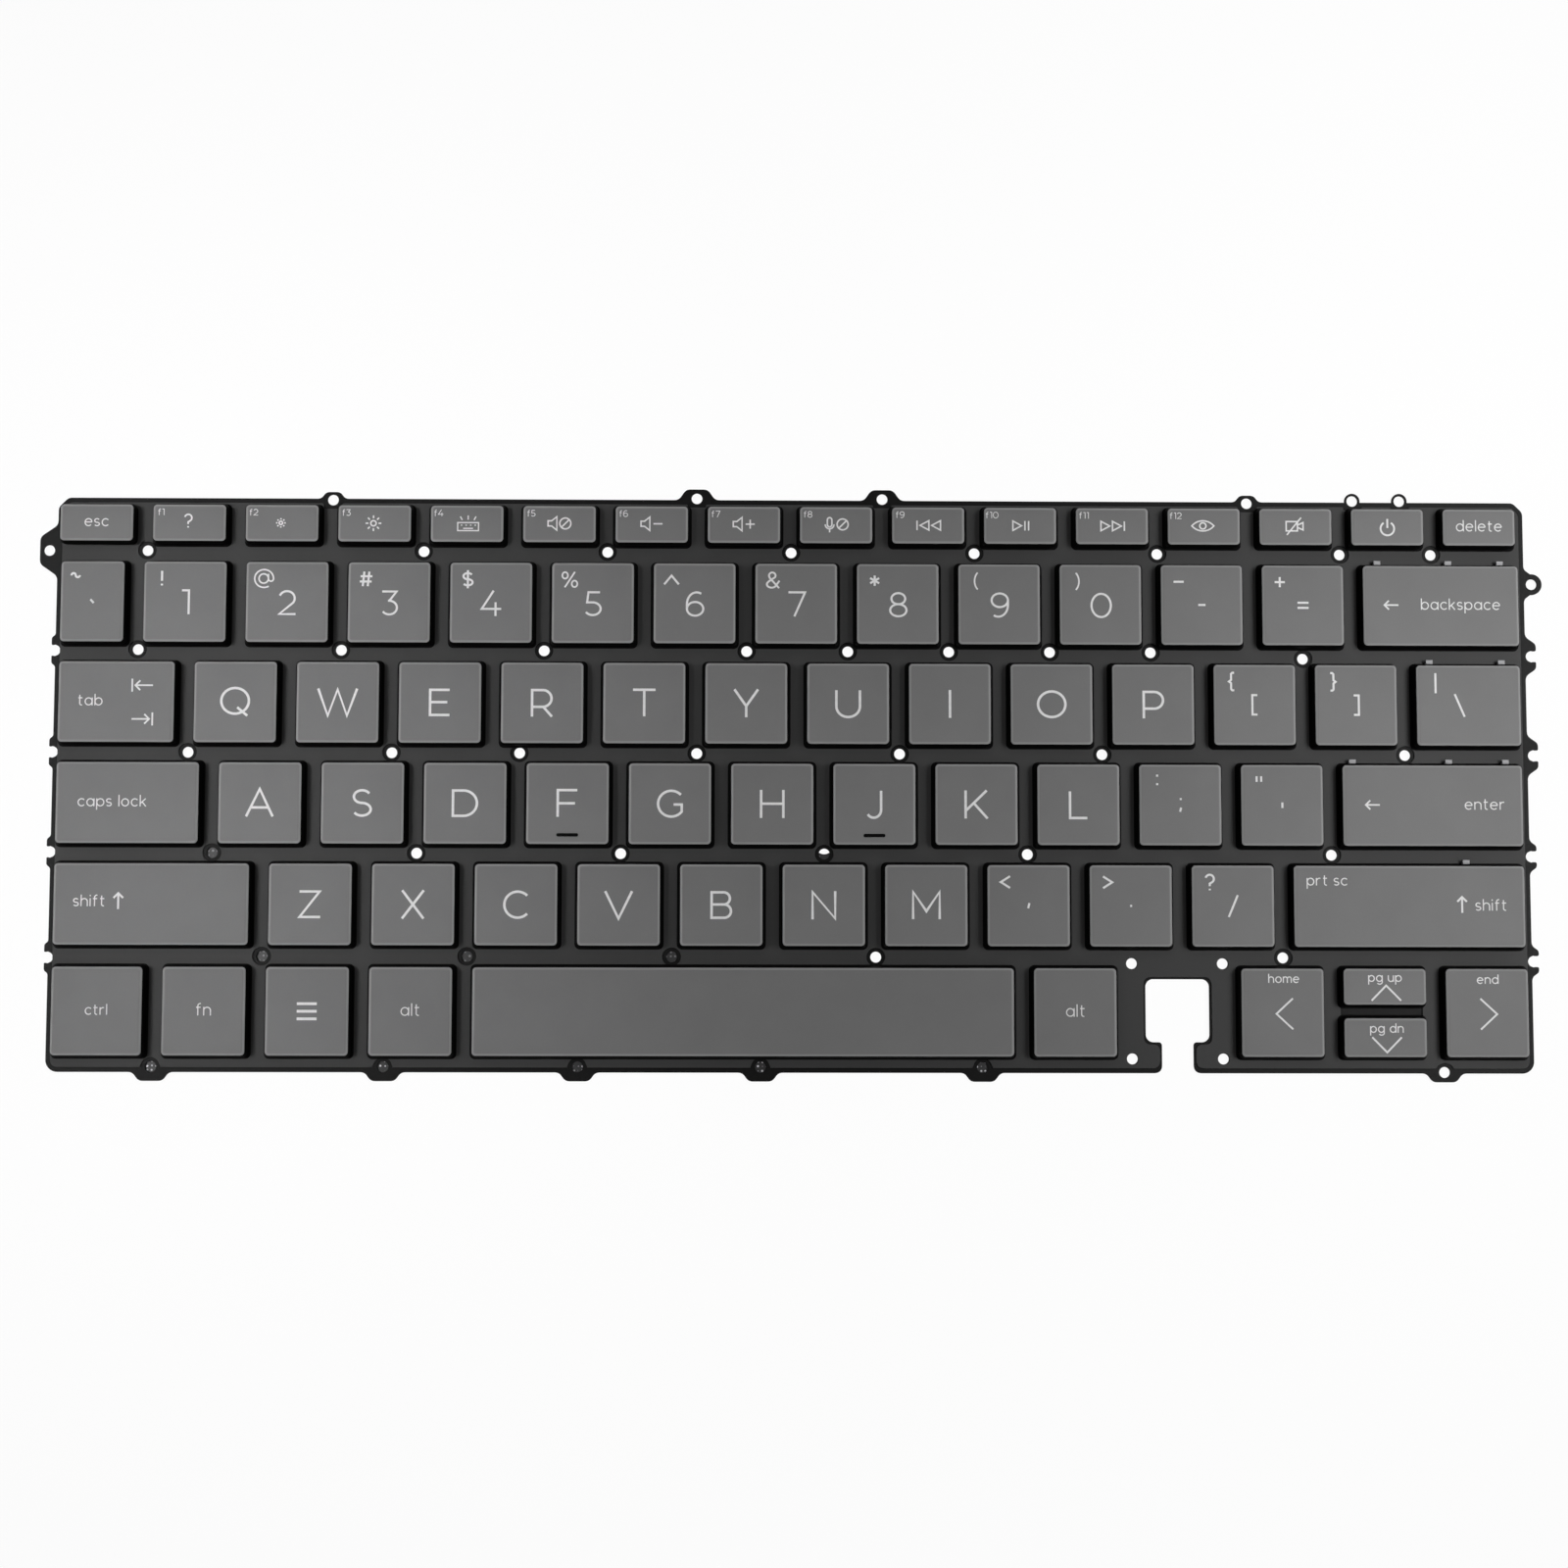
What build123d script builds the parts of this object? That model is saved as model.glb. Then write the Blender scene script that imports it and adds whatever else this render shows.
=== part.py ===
"""Replacement keyboard for a thin laptop, built up from its light guide to its key caps."""
import os
from math import atan, degrees, hypot, sqrt

from build123d import *

# Layers, from the back upwards
LIGHT_T = 0.35
PLATE_T = 0.4
MEMBRANE_T = 0.3
PLATE_Z = LIGHT_T
MEMBRANE_Z = PLATE_Z + PLATE_T
FLOOR_Z = MEMBRANE_Z + MEMBRANE_T

# Key travel and the height of the caps
TRAVEL = 1.3
PRESSED_GAP = 0.1
CAP_H = 1.65
SKIRT_Z = FLOOR_Z + TRAVEL + PRESSED_GAP
TOP_Z = SKIRT_Z + CAP_H

# Cap form: the top face is smaller than the skirt
CAP_SPREAD = 0.4
CAP_WALL = 0.8
CAP_ROOF = 0.75
CAP_CORNER = 0.75
ROOF_Z = TOP_Z - CAP_ROOF
CAP_TAPER = degrees(atan(CAP_SPREAD / CAP_H))
POCKET_GROW = 2 * CAP_SPREAD - 2 * CAP_WALL

# Raised bars that the fingers find on the two home keys
HOME_KEYS = ("key_f", "key_j")
HOME_BAR_W = 4.0
HOME_BAR_D = 0.6
HOME_BAR_H = 0.2
HOME_BAR_Y = -5.75

# Key layout, measured on the top faces of the caps
PITCH = 18.7
ROW_PITCH = 18.5
GAP = 3.7
CAP_W = PITCH - GAP
CAP_D = ROW_PITCH - GAP
KEYS_LEFT = -134.4
KEYS_RIGHT = 133.9
NUMBER_Y = 32.85
NUMBER_X = -111.7
UPPER_SHIFT = 9.55
HOME_SHIFT = 14.35
LOWER_SHIFT = 23.8
BOTTOM_SHIFT = 4.85
UPPER_X = NUMBER_X + UPPER_SHIFT
HOME_X = NUMBER_X + HOME_SHIFT
LOWER_X = NUMBER_X + LOWER_SHIFT
BOTTOM_X = NUMBER_X + BOTTOM_SHIFT
UPPER_Y = NUMBER_Y - ROW_PITCH
HOME_Y = UPPER_Y - ROW_PITCH
LOWER_Y = HOME_Y - ROW_PITCH
BOTTOM_D = 16.0
BOTTOM_STEP = 19.4
BOTTOM_Y = LOWER_Y - BOTTOM_STEP
FUNCTION_COUNT = 16
FUNCTION_D = 6.7
FUNCTION_STEP = 14.65
FUNCTION_Y = NUMBER_Y + FUNCTION_STEP
FUNCTION_PITCH = (KEYS_RIGHT - KEYS_LEFT + GAP) / FUNCTION_COUNT
FUNCTION_LEFT = KEYS_LEFT - 0.4
ARROWS_RIGHT = KEYS_RIGHT + 0.25
RIGHT_ALT_LEFT = 43.9
ARROW_SPLIT = 2.5
UP_ARROW_D = 6.5

# Plate outline
PLATE_LEFT = -136.0
PLATE_RIGHT = 135.9
PLATE_TOP = 52.7
PLATE_BOTTOM = -53.1
PLATE_CORNER = 2.2
TOP_CORNER = 1.8
REACH_X = 139.25
REACH_Y = 54.7

# Ears, hoops and tabs on the edges, each with a hole near its end, and notched tabs at the sides
TOP_TABS_X = (-17.9, 16.5)
TOP_LOBES_X = (-85.3, 84.4)
TOP_HOOPS_X = (104.1, 112.9)
BOTTOM_TABS_X = (-116.9, -74.7, -39.3, -5.9, 34.7)
OPEN_TAB_X = 119.4
LEFT_NOTCHES_Y = (24.2, 5.4, -13.0, -32.3)
BACK_NOTCHES_Y = (23.9, 5.4)
FRONT_NOTCHES_Y = (-13.3, -32.6)
LEFT_EAR_Y = 42.8
RIGHT_EAR_Y = 37.4
EAR_SLOPE = 55
TOP_HOLE_Y = 52.95
LOBE_HOLE_Y = 52.45
BOTTOM_HOLE_Y = -52.1
OPEN_TAB_HOLE_Y = -52.9
TOP_TAB_W = 6.8
LOBE_W = 4.4
LOBE_REACH = 1.25
BOTTOM_TAB_W = 6.6
HOOP_R = 1.45
LEFT_EAR_W = 9.6
LEFT_EAR_HOLE_X = -137.5
RIGHT_EAR_W = 5.6
RIGHT_EAR_HOLE_X = 137.3
SIDE_TAB_W = 5.8
BACK_TAB_W = 7.4
LEFT_TAB_REACH = 0.7
BACK_TAB_REACH = 2.0
FRONT_TAB_REACH = 1.3
LEFT_NOTCH_X = -136.1
BACK_NOTCH_X = 137.0
FRONT_NOTCH_X = 136.2
TAB_FOOT = Align.CENTER, Align.MIN

# Fixing holes stand a little right of and above the middle of the gaps, higher towards the back
HOLE_R = 1.0
HOLE_SHIFT = 0.25
FUNCTION_HOLE_RISE = 0.65
NUMBER_HOLE_RISE = 0.8
LETTER_HOLE_RISE = 0.3
FRONT_HOLE_RISE = 0.05
HOLE_SIDES = 8
RING_SIDE = 3.4

# The films end inside the plate's edge and keep clear of the aperture
MEMBRANE_BORDER = 0.9
LIGHT_BORDER = 1.2
FILM_BITE = 0.4
FILM_CLEAR = 0.1
LIGHT_BITE = 4.2
LIGHT_LOBE = 2.6

# Square aperture beside the right alt key, open to the front edge through a neck
APERTURE_X = 70.5
APERTURE_W = 11.7
APERTURE_TOP = -35.95
APERTURE_D = 11.5
APERTURE_CORNER = 1.4
NECK_W = 5.8
CORNER_HOLES_X = 16.7
CORNER_HOLES_TOP = -33.1
CORNER_HOLES_BOTTOM = -50.5

# Under the caps
DOME_BASE = 5.0
DOME_TOP = 2.6
DOME_TAPER = degrees(atan((DOME_BASE - DOME_TOP) / 2 / (ROOF_Z - FLOOR_Z)))
ARM_FOOT = 2.2
ARM_W = 1.8
ARM_X = 4.0
ARM_RUN = 9.0
BAR = 0.6
BAR_INSET = 1.2
BAR_END = 4.0
WIDE_KEY = 20.0


def left_edge(key):
    """X of the left edge of a cap's top face."""
    return key["x"] - key["width"] / 2


def right_edge(key):
    """X of the right edge of a cap's top face."""
    return key["x"] + key["width"] / 2


def key_between(name, left, right, y, depth):
    """A key whose top face runs from one X to another."""
    return {"name": name, "x": (left + right) / 2, "y": y, "width": right - left, "depth": depth}


def key_run(names, first_x, y, depth=CAP_D):
    """Keys of one unit, side by side at the column pitch."""
    return [
        {"name": name, "x": first_x + i * PITCH, "y": y, "width": CAP_W, "depth": depth}
        for i, name in enumerate(names)
    ]


def full_row(first, names, last, first_x, y):
    """A run of unit keys with a wider key at each end that fills the row."""
    run = key_run(names, first_x, y)
    start = key_between(first, KEYS_LEFT, left_edge(run[0]) - GAP, y, CAP_D)
    end = key_between(last, right_edge(run[-1]) + GAP, KEYS_RIGHT, y, CAP_D)
    return [start, *run, end]


def letters(text):
    """Key names for a string of letters or digits."""
    return ["key_" + letter for letter in text]


number_row = full_row(
    "key_grave", [*letters("1234567890"), "key_minus", "key_equals"], "key_backspace", NUMBER_X, NUMBER_Y
)
upper_row = full_row(
    "key_tab",
    [*letters("qwertyuiop"), "key_left_bracket", "key_right_bracket"],
    "key_backslash",
    UPPER_X,
    UPPER_Y,
)
home_row = full_row(
    "key_caps_lock", [*letters("asdfghjkl"), "key_semicolon", "key_quote"], "key_enter", HOME_X, HOME_Y
)
lower_row = full_row(
    "key_left_shift",
    [*letters("zxcvbnm"), "key_comma", "key_period", "key_slash"],
    "key_right_shift",
    LOWER_X,
    LOWER_Y,
)
function_row = [
    key_between(
        f"function_{i}",
        FUNCTION_LEFT + i * FUNCTION_PITCH,
        FUNCTION_LEFT + (i + 1) * FUNCTION_PITCH - GAP,
        FUNCTION_Y,
        FUNCTION_D,
    )
    for i in range(FUNCTION_COUNT)
]

# Bottom row: modifiers at the left, the long bar, alt, the aperture's place and the arrows
modifiers = key_run(["fn", "menu", "left_alt"], BOTTOM_X, BOTTOM_Y, BOTTOM_D)
control = key_between("control", KEYS_LEFT, left_edge(modifiers[0]) - GAP, BOTTOM_Y, BOTTOM_D)
right_arrow_x = ARROWS_RIGHT - CAP_W / 2
right_alt = key_between("right_alt", RIGHT_ALT_LEFT, RIGHT_ALT_LEFT + CAP_W, BOTTOM_Y, BOTTOM_D)
side_arrows = [
    *key_run(["left_arrow"], right_arrow_x - 2 * PITCH, BOTTOM_Y, BOTTOM_D),
    *key_run(["right_arrow"], right_arrow_x, BOTTOM_Y, BOTTOM_D),
]
half_arrow_x = right_arrow_x - PITCH
down_arrow_d = BOTTOM_D - ARROW_SPLIT - UP_ARROW_D
up_arrow_y = BOTTOM_Y + (BOTTOM_D - UP_ARROW_D) / 2
down_arrow_y = BOTTOM_Y - (BOTTOM_D - down_arrow_d) / 2
arrow_split_y = BOTTOM_Y + (down_arrow_d - UP_ARROW_D) / 2
half_arrows = [
    *key_run(["up_arrow"], half_arrow_x, up_arrow_y, UP_ARROW_D),
    *key_run(["down_arrow"], half_arrow_x, down_arrow_y, down_arrow_d),
]
space = key_between(
    "key_space", right_edge(modifiers[-1]) + GAP, left_edge(right_alt) - GAP, BOTTOM_Y, BOTTOM_D
)

moving_keys = [*number_row, *upper_row, *home_row, *lower_row, space]
fixed_keys = [*function_row, control, *modifiers, right_alt, *side_arrows, *half_arrows]


def hole_x(key):
    """X of a hole in the gap at the right of a key."""
    return right_edge(key) + GAP / 2 + HOLE_SHIFT


def gap_holes(row, below, rise, steps):
    """Hole places in the gap under a row, each to the right of the key with that index."""
    middle = (row[0]["y"] - row[0]["depth"] / 2 + below[0]["y"] + below[0]["depth"] / 2) / 2
    return [(hole_x(row[i]), middle + rise) for i in steps]


front_row = [control, *modifiers]
upper_hole_y = UPPER_Y + CAP_D / 2 + GAP / 2 - LETTER_HOLE_RISE
home_hole_y = HOME_Y + CAP_D / 2 + GAP / 2 + LETTER_HOLE_RISE
screw_holes = gap_holes(function_row, number_row, FUNCTION_HOLE_RISE, (0, 14))
stake_holes = [
    *gap_holes(function_row, number_row, FUNCTION_HOLE_RISE, (3, 5, 7, 9, 11, 13)),
    *gap_holes(number_row, upper_row, NUMBER_HOLE_RISE, (0, 2, 4, 6, 7, 8, 9, 10)),
    (hole_x(upper_row[11]), upper_hole_y),
    *gap_holes(upper_row, home_row, LETTER_HOLE_RISE, (0, 2, 5, 7, 9, 12)),
    (hole_x(home_row[3]), home_hole_y),
    *gap_holes(home_row, lower_row, LETTER_HOLE_RISE, (2, 4, 8, 11)),
    *gap_holes(lower_row, front_row, FRONT_HOLE_RISE, (6, 10)),
]
# Holes that the light guide covers from behind, one of them by half
half_holes = gap_holes(home_row, lower_row, LETTER_HOLE_RISE, (6,))
blocked_holes = [
    *gap_holes(home_row, lower_row, LETTER_HOLE_RISE, (0,)),
    *gap_holes(lower_row, front_row, FRONT_HOLE_RISE, (0, 2, 4)),
]
aperture_holes = [
    (APERTURE_X + side * CORNER_HOLES_X / 2, y)
    for side in (-1, 1)
    for y in (CORNER_HOLES_TOP, CORNER_HOLES_BOTTOM)
]

top_edge_holes = [
    *((x, TOP_HOLE_Y) for x in (*TOP_TABS_X, *TOP_HOOPS_X)),
    *((x, LOBE_HOLE_Y) for x in TOP_LOBES_X),
]
front_edge_holes = [*((x, BOTTOM_HOLE_Y) for x in BOTTOM_TABS_X), (OPEN_TAB_X, OPEN_TAB_HOLE_Y)]
ear_holes = [(LEFT_EAR_HOLE_X, LEFT_EAR_Y), (RIGHT_EAR_HOLE_X, RIGHT_EAR_Y)]


def tab(places, width, reach, turn):
    """Sloped tabs that stand on an edge; turn is the way they point, anticlockwise from +Y."""
    with Locations(*places):
        Trapezoid(width, reach, EAR_SLOPE, rotation=turn, align=TAB_FOOT)


with BuildPart() as base_plate:
    with BuildSketch(Plane.XY.offset(PLATE_Z)) as plate_outline:
        with Locations(((PLATE_LEFT + PLATE_RIGHT) / 2, (PLATE_TOP + PLATE_BOTTOM) / 2)):
            Rectangle(PLATE_RIGHT - PLATE_LEFT, PLATE_TOP - PLATE_BOTTOM)
        chamfer(plate_outline.vertices().group_by(Axis.Y)[-1], TOP_CORNER)
        fillet(plate_outline.vertices().group_by(Axis.Y)[0], PLATE_CORNER)
        tab([(x, PLATE_TOP) for x in TOP_TABS_X], TOP_TAB_W, REACH_Y - PLATE_TOP, 0)
        tab([(x, PLATE_TOP) for x in TOP_LOBES_X], LOBE_W, LOBE_REACH, 0)
        front_tabs = [(x, PLATE_BOTTOM) for x in (*BOTTOM_TABS_X, OPEN_TAB_X)]
        tab(front_tabs, BOTTOM_TAB_W, REACH_Y + PLATE_BOTTOM, 180)
        tab([(PLATE_LEFT, LEFT_EAR_Y)], LEFT_EAR_W, REACH_X + PLATE_LEFT, 90)
        tab([(PLATE_RIGHT, RIGHT_EAR_Y)], RIGHT_EAR_W, RIGHT_EAR_HOLE_X - PLATE_RIGHT, -90)
        tab([(PLATE_LEFT, y) for y in LEFT_NOTCHES_Y], SIDE_TAB_W, LEFT_TAB_REACH, 90)
        tab([(PLATE_RIGHT, y) for y in BACK_NOTCHES_Y], BACK_TAB_W, BACK_TAB_REACH, -90)
        tab([(PLATE_RIGHT, y) for y in FRONT_NOTCHES_Y], SIDE_TAB_W, FRONT_TAB_REACH, -90)
        with Locations(*((x, TOP_HOLE_Y) for x in TOP_HOOPS_X)):
            Circle(HOOP_R)
        with Locations((RIGHT_EAR_HOLE_X, RIGHT_EAR_Y)):
            Circle(REACH_X - RIGHT_EAR_HOLE_X)
        with Locations(*screw_holes, *aperture_holes):
            Circle(HOLE_R, mode=Mode.SUBTRACT)
        round_holes = [*stake_holes, *half_holes, *blocked_holes]
        with Locations(*round_holes, *top_edge_holes, *front_edge_holes, *ear_holes):
            RegularPolygon(HOLE_R, HOLE_SIDES, major_radius=False, mode=Mode.SUBTRACT)
        left_notches = [(LEFT_NOTCH_X, y) for y in LEFT_NOTCHES_Y]
        back_notches = [(BACK_NOTCH_X, y) for y in BACK_NOTCHES_Y]
        right_notches = [*back_notches, *((FRONT_NOTCH_X, y) for y in FRONT_NOTCHES_Y)]
        with Locations(*left_notches, *right_notches):
            RegularPolygon(HOLE_R, HOLE_SIDES, major_radius=False, mode=Mode.SUBTRACT)
        with Locations(*left_notches):
            Rectangle(SIDE_TAB_W, 2 * HOLE_R, align=(Align.MAX, Align.CENTER), mode=Mode.SUBTRACT)
        with Locations(*right_notches):
            Rectangle(SIDE_TAB_W, 2 * HOLE_R, align=(Align.MIN, Align.CENTER), mode=Mode.SUBTRACT)
        with Locations((APERTURE_X, APERTURE_TOP)):
            RectangleRounded(
                APERTURE_W,
                APERTURE_D,
                APERTURE_CORNER,
                align=(Align.CENTER, Align.MAX),
                mode=Mode.SUBTRACT,
            )
        with Locations((APERTURE_X, APERTURE_TOP - APERTURE_D / 2)):
            Rectangle(NECK_W, APERTURE_D * 2, align=(Align.CENTER, Align.MAX), mode=Mode.SUBTRACT)
    extrude(amount=PLATE_T)


def sheet(z, thickness, border, windows, bite, holes=(), rings=(), slots=(), lobes=()):
    """Film inside the plate's outline: windows, holes, rings, slots, clear of the aperture, lobes."""
    with BuildPart() as film:
        with BuildSketch(Plane.XY.offset(z)) as outline:
            with Locations(((PLATE_LEFT + PLATE_RIGHT) / 2, (PLATE_TOP + PLATE_BOTTOM) / 2)):
                Rectangle(PLATE_RIGHT - PLATE_LEFT - 2 * border, PLATE_TOP - PLATE_BOTTOM - 2 * border)
            chamfer(outline.vertices().group_by(Axis.Y)[-1], TOP_CORNER - border * (2 - sqrt(2)))
            if lobes:
                tab([(x, PLATE_BOTTOM + border) for x in lobes], BOTTOM_TAB_W, LIGHT_LOBE, 180)
            with Locations(*windows):
                Rectangle(RING_SIDE, RING_SIDE, mode=Mode.SUBTRACT)
            if holes:
                with Locations(*holes):
                    RegularPolygon(
                        HOLE_R + FILM_CLEAR, HOLE_SIDES, major_radius=False, mode=Mode.SUBTRACT
                    )
            if rings:
                with Locations(*rings):
                    RegularPolygon(RING_SIDE / 2, HOLE_SIDES, major_radius=False, mode=Mode.SUBTRACT)
            if slots:
                with Locations(*slots):
                    Rectangle(CAP_W, ARROW_SPLIT, mode=Mode.SUBTRACT)
            aperture_bite = APERTURE_W + 2 * bite, APERTURE_D + 2 * bite
            neck_bite = NECK_W + 2 * bite, APERTURE_TOP + bite - PLATE_BOTTOM
            with Locations((APERTURE_X, APERTURE_TOP + bite)):
                Rectangle(*aperture_bite, align=(Align.CENTER, Align.MAX), mode=Mode.SUBTRACT)
                Rectangle(*neck_bite, align=(Align.CENTER, Align.MAX), mode=Mode.SUBTRACT)
        extrude(amount=thickness)
    return film


open_holes = [*screw_holes, *stake_holes]
switch_membrane = sheet(
    MEMBRANE_Z,
    MEMBRANE_T,
    MEMBRANE_BORDER,
    [*open_holes, *half_holes, *blocked_holes, *top_edge_holes],
    FILM_BITE,
    holes=aperture_holes,
    rings=front_edge_holes,
    slots=[(half_arrow_x, arrow_split_y)],
)
half_windows = [(x, y + RING_SIDE / 2) for x, y in half_holes]
light_guide = sheet(
    0, LIGHT_T, LIGHT_BORDER, [*open_holes, *half_windows], LIGHT_BITE, lobes=BOTTOM_TABS_X
)


def key_cap(key):
    """Hollow cap: a drafted block with cut corners, a pocket open below and any bars."""
    with BuildPart() as cap:
        with BuildSketch(Plane.XY.offset(SKIRT_Z)) as skirt:
            with Locations((key["x"], key["y"])):
                Rectangle(key["width"] + 2 * CAP_SPREAD, key["depth"] + 2 * CAP_SPREAD)
            chamfer(skirt.vertices(), CAP_CORNER)
        extrude(amount=CAP_H, taper=CAP_TAPER)
        with BuildSketch(Plane.XY.offset(SKIRT_Z)):
            with Locations((key["x"], key["y"])):
                Rectangle(key["width"] + POCKET_GROW, key["depth"] + POCKET_GROW)
        extrude(amount=ROOF_Z - SKIRT_Z, mode=Mode.SUBTRACT)
        if key["width"] > WIDE_KEY:
            with BuildSketch(Plane.XY.offset(ROOF_Z - BAR)):
                with Locations((key["x"], key["y"] + key["depth"] / 2 - BAR_INSET)):
                    Rectangle(key["width"] - 2 * BAR_END, BAR)
            extrude(amount=BAR)
        if key["name"] in HOME_KEYS:
            with BuildSketch(Plane.XY.offset(TOP_Z)):
                with Locations((key["x"], key["y"] + HOME_BAR_Y)):
                    Rectangle(HOME_BAR_W, HOME_BAR_D)
            extrude(amount=HOME_BAR_H)
    return cap


def domes(keys):
    """Rubber domes that stand on the membrane and carry the caps, as square frustums."""
    with BuildPart() as group:
        with BuildSketch(Plane.XY.offset(FLOOR_Z)):
            with Locations(*((key["x"], key["y"]) for key in keys)):
                Rectangle(DOME_BASE, DOME_BASE)
        extrude(amount=ROOF_Z - FLOOR_Z, taper=DOME_TAPER)
    return group


def scissor_arms(keys):
    """Two crossing arms a key, one each side of its dome, from the membrane up to the cap's roof."""
    with BuildPart() as group:
        for side in (-1, 1):
            with BuildSketch(Plane.XY.offset(FLOOR_Z)):
                with Locations(*((key["x"] + side * ARM_X, key["y"] - side * ARM_RUN / 2) for key in keys)):
                    Rectangle(ARM_W, ARM_FOOT)
            rise = ROOF_Z - FLOOR_Z
            extrude(amount=hypot(ARM_RUN, rise), dir=(0, side * ARM_RUN, rise))
    return group


rubber_domes = domes(moving_keys)
scissors = scissor_arms(moving_keys)

# Keys of the function row, the modifiers and the arrows, each in one piece with its dome
fixed_caps = []
for key in fixed_keys:
    cap = key_cap(key)
    dome = domes([key])
    with BuildPart() as fixed_cap:
        add(cap.part)
        add(dome.part)
    fixed_caps.append(fixed_cap.part)
fixed_key_group = Compound(children=fixed_caps)

os.makedirs("parts", exist_ok=True)
base_nodes = {
    "base_plate": base_plate.part,
    "switch_membrane": switch_membrane.part,
    "light_guide": light_guide.part,
    "rubber_domes": rubber_domes.part,
    "scissor_arms": scissors.part,
    "fixed_keys": fixed_key_group,
}
for name, shape in base_nodes.items():
    shape.label = name
    export_step(shape, f"parts/{name}.step")
for key in moving_keys:
    cap = key_cap(key)
    cap.part.label = key["name"]
    export_step(cap.part, f"parts/{key['name']}.step")
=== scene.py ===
"""Looks of a laptop replacement keyboard, laid out as an add-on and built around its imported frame."""

from collections import namedtuple
from math import ceil, cos, hypot, pi, radians, sin, tan

import bmesh
import bpy
from mathutils import Euler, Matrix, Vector


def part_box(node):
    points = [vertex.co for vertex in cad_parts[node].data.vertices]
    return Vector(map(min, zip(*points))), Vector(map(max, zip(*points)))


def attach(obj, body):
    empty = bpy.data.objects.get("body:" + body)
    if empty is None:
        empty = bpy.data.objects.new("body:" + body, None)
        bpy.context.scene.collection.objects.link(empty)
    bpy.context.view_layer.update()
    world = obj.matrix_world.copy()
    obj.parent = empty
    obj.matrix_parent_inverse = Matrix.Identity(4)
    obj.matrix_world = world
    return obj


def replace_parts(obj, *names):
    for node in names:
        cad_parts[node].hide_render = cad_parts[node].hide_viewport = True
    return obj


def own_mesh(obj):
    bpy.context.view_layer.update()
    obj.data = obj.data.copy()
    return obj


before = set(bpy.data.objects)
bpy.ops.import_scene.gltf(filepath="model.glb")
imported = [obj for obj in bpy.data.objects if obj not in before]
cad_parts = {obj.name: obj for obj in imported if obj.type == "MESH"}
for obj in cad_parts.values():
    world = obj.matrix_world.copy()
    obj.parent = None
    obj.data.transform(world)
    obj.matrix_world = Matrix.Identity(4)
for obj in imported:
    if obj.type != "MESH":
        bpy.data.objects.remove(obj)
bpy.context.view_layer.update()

bl_info = {
    "name": "Keyboard looks",
    "version": (1, 0, 0),
    "blender": (4, 5, 0),
    "location": "3D View > Sidebar > Keyboard",
    "description": "Caps, legends, sheets and switches of a laptop keyboard",
    "category": "Object",
}

MM = 0.001

# Levels and sizes that the frame fixes
SKIRT_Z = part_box("key_g")[0].z
TOP_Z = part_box("key_g")[1].z
FLOOR_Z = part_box("switch_membrane")[1].z
ROOF_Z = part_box("rubber_domes")[1].z
HOME_TOP_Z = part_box("key_f")[1].z

# Sizes of the part's source that no box shows: a cap's draft and wall
CAP_SPREAD = 0.4 * MM
CAP_WALL = 0.8 * MM

# The room that a dome or an arm leaves below the cap's roof
ROOF_ROOM = 0.02 * MM

Key = namedtuple("Key", "name x y width depth body")


def welded(node):
    """A CAD node's mesh with its vertices joined."""
    mesh = bmesh.new()
    mesh.from_mesh(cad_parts[node].data)
    bmesh.ops.remove_doubles(mesh, verts=mesh.verts, dist=1e-7)
    return mesh


def solid_boxes(node):
    """Lowest and highest corner of each separate solid in a CAD node."""
    mesh = welded(node)
    waiting, boxes = set(mesh.verts), []
    while waiting:
        found = {waiting.pop()}
        edge = set(found)
        while edge:
            edge = {e.other_vert(v) for v in edge for e in v.link_edges} - found
            found |= edge
        waiting -= found
        corners = list(zip(*(v.co for v in found)))
        boxes.append((Vector(map(min, corners)), Vector(map(max, corners))))
    mesh.free()
    return boxes


def key_from_box(name, low, high, body):
    """A key by the box of its cap; its width and depth are those of the top face."""
    size = high - low
    middle = (low + high) / 2
    return Key(name, middle.x, middle.y, size.x - 2 * CAP_SPREAD, size.y - 2 * CAP_SPREAD, body)


def read_keys():
    """All keys by name: those that move, then the function row and the bottom row's own."""
    names = [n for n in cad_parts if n.startswith("key_")]
    keys = [key_from_box(n, *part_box(n), n) for n in names]
    boxes = sorted(solid_boxes("fixed_keys"), key=lambda b: (round(b[0].x, 4), -b[0].y))
    upper = [b for b in boxes if b[0].y > 0]
    lower = [b for b in boxes if b[0].y < 0]
    keys += [key_from_box(f"function_{i}", *b, "base") for i, b in enumerate(upper)]
    bottom = "control fn menu left_alt right_alt left_arrow up_arrow down_arrow right_arrow".split()
    keys += [key_from_box(n, *b, "base") for n, b in zip(bottom, lower, strict=True)]
    return {key.name: key for key in keys}


# Stabiliser hooks behind wide caps, in millimetres right of the cap's middle
HOOKS = {
    "key_backspace": (-11.3, 1.9, 11.5),
    "key_backslash": (-6.7, 6.7),
    "key_enter": (-14.3, 3.5, 14.0),
    "key_right_shift": (11.0,),
}

KEYS = read_keys()
MOVING = [key for key in KEYS.values() if key.body != "base"]
FIXED = [key for key in KEYS.values() if key.body == "base"]


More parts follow.
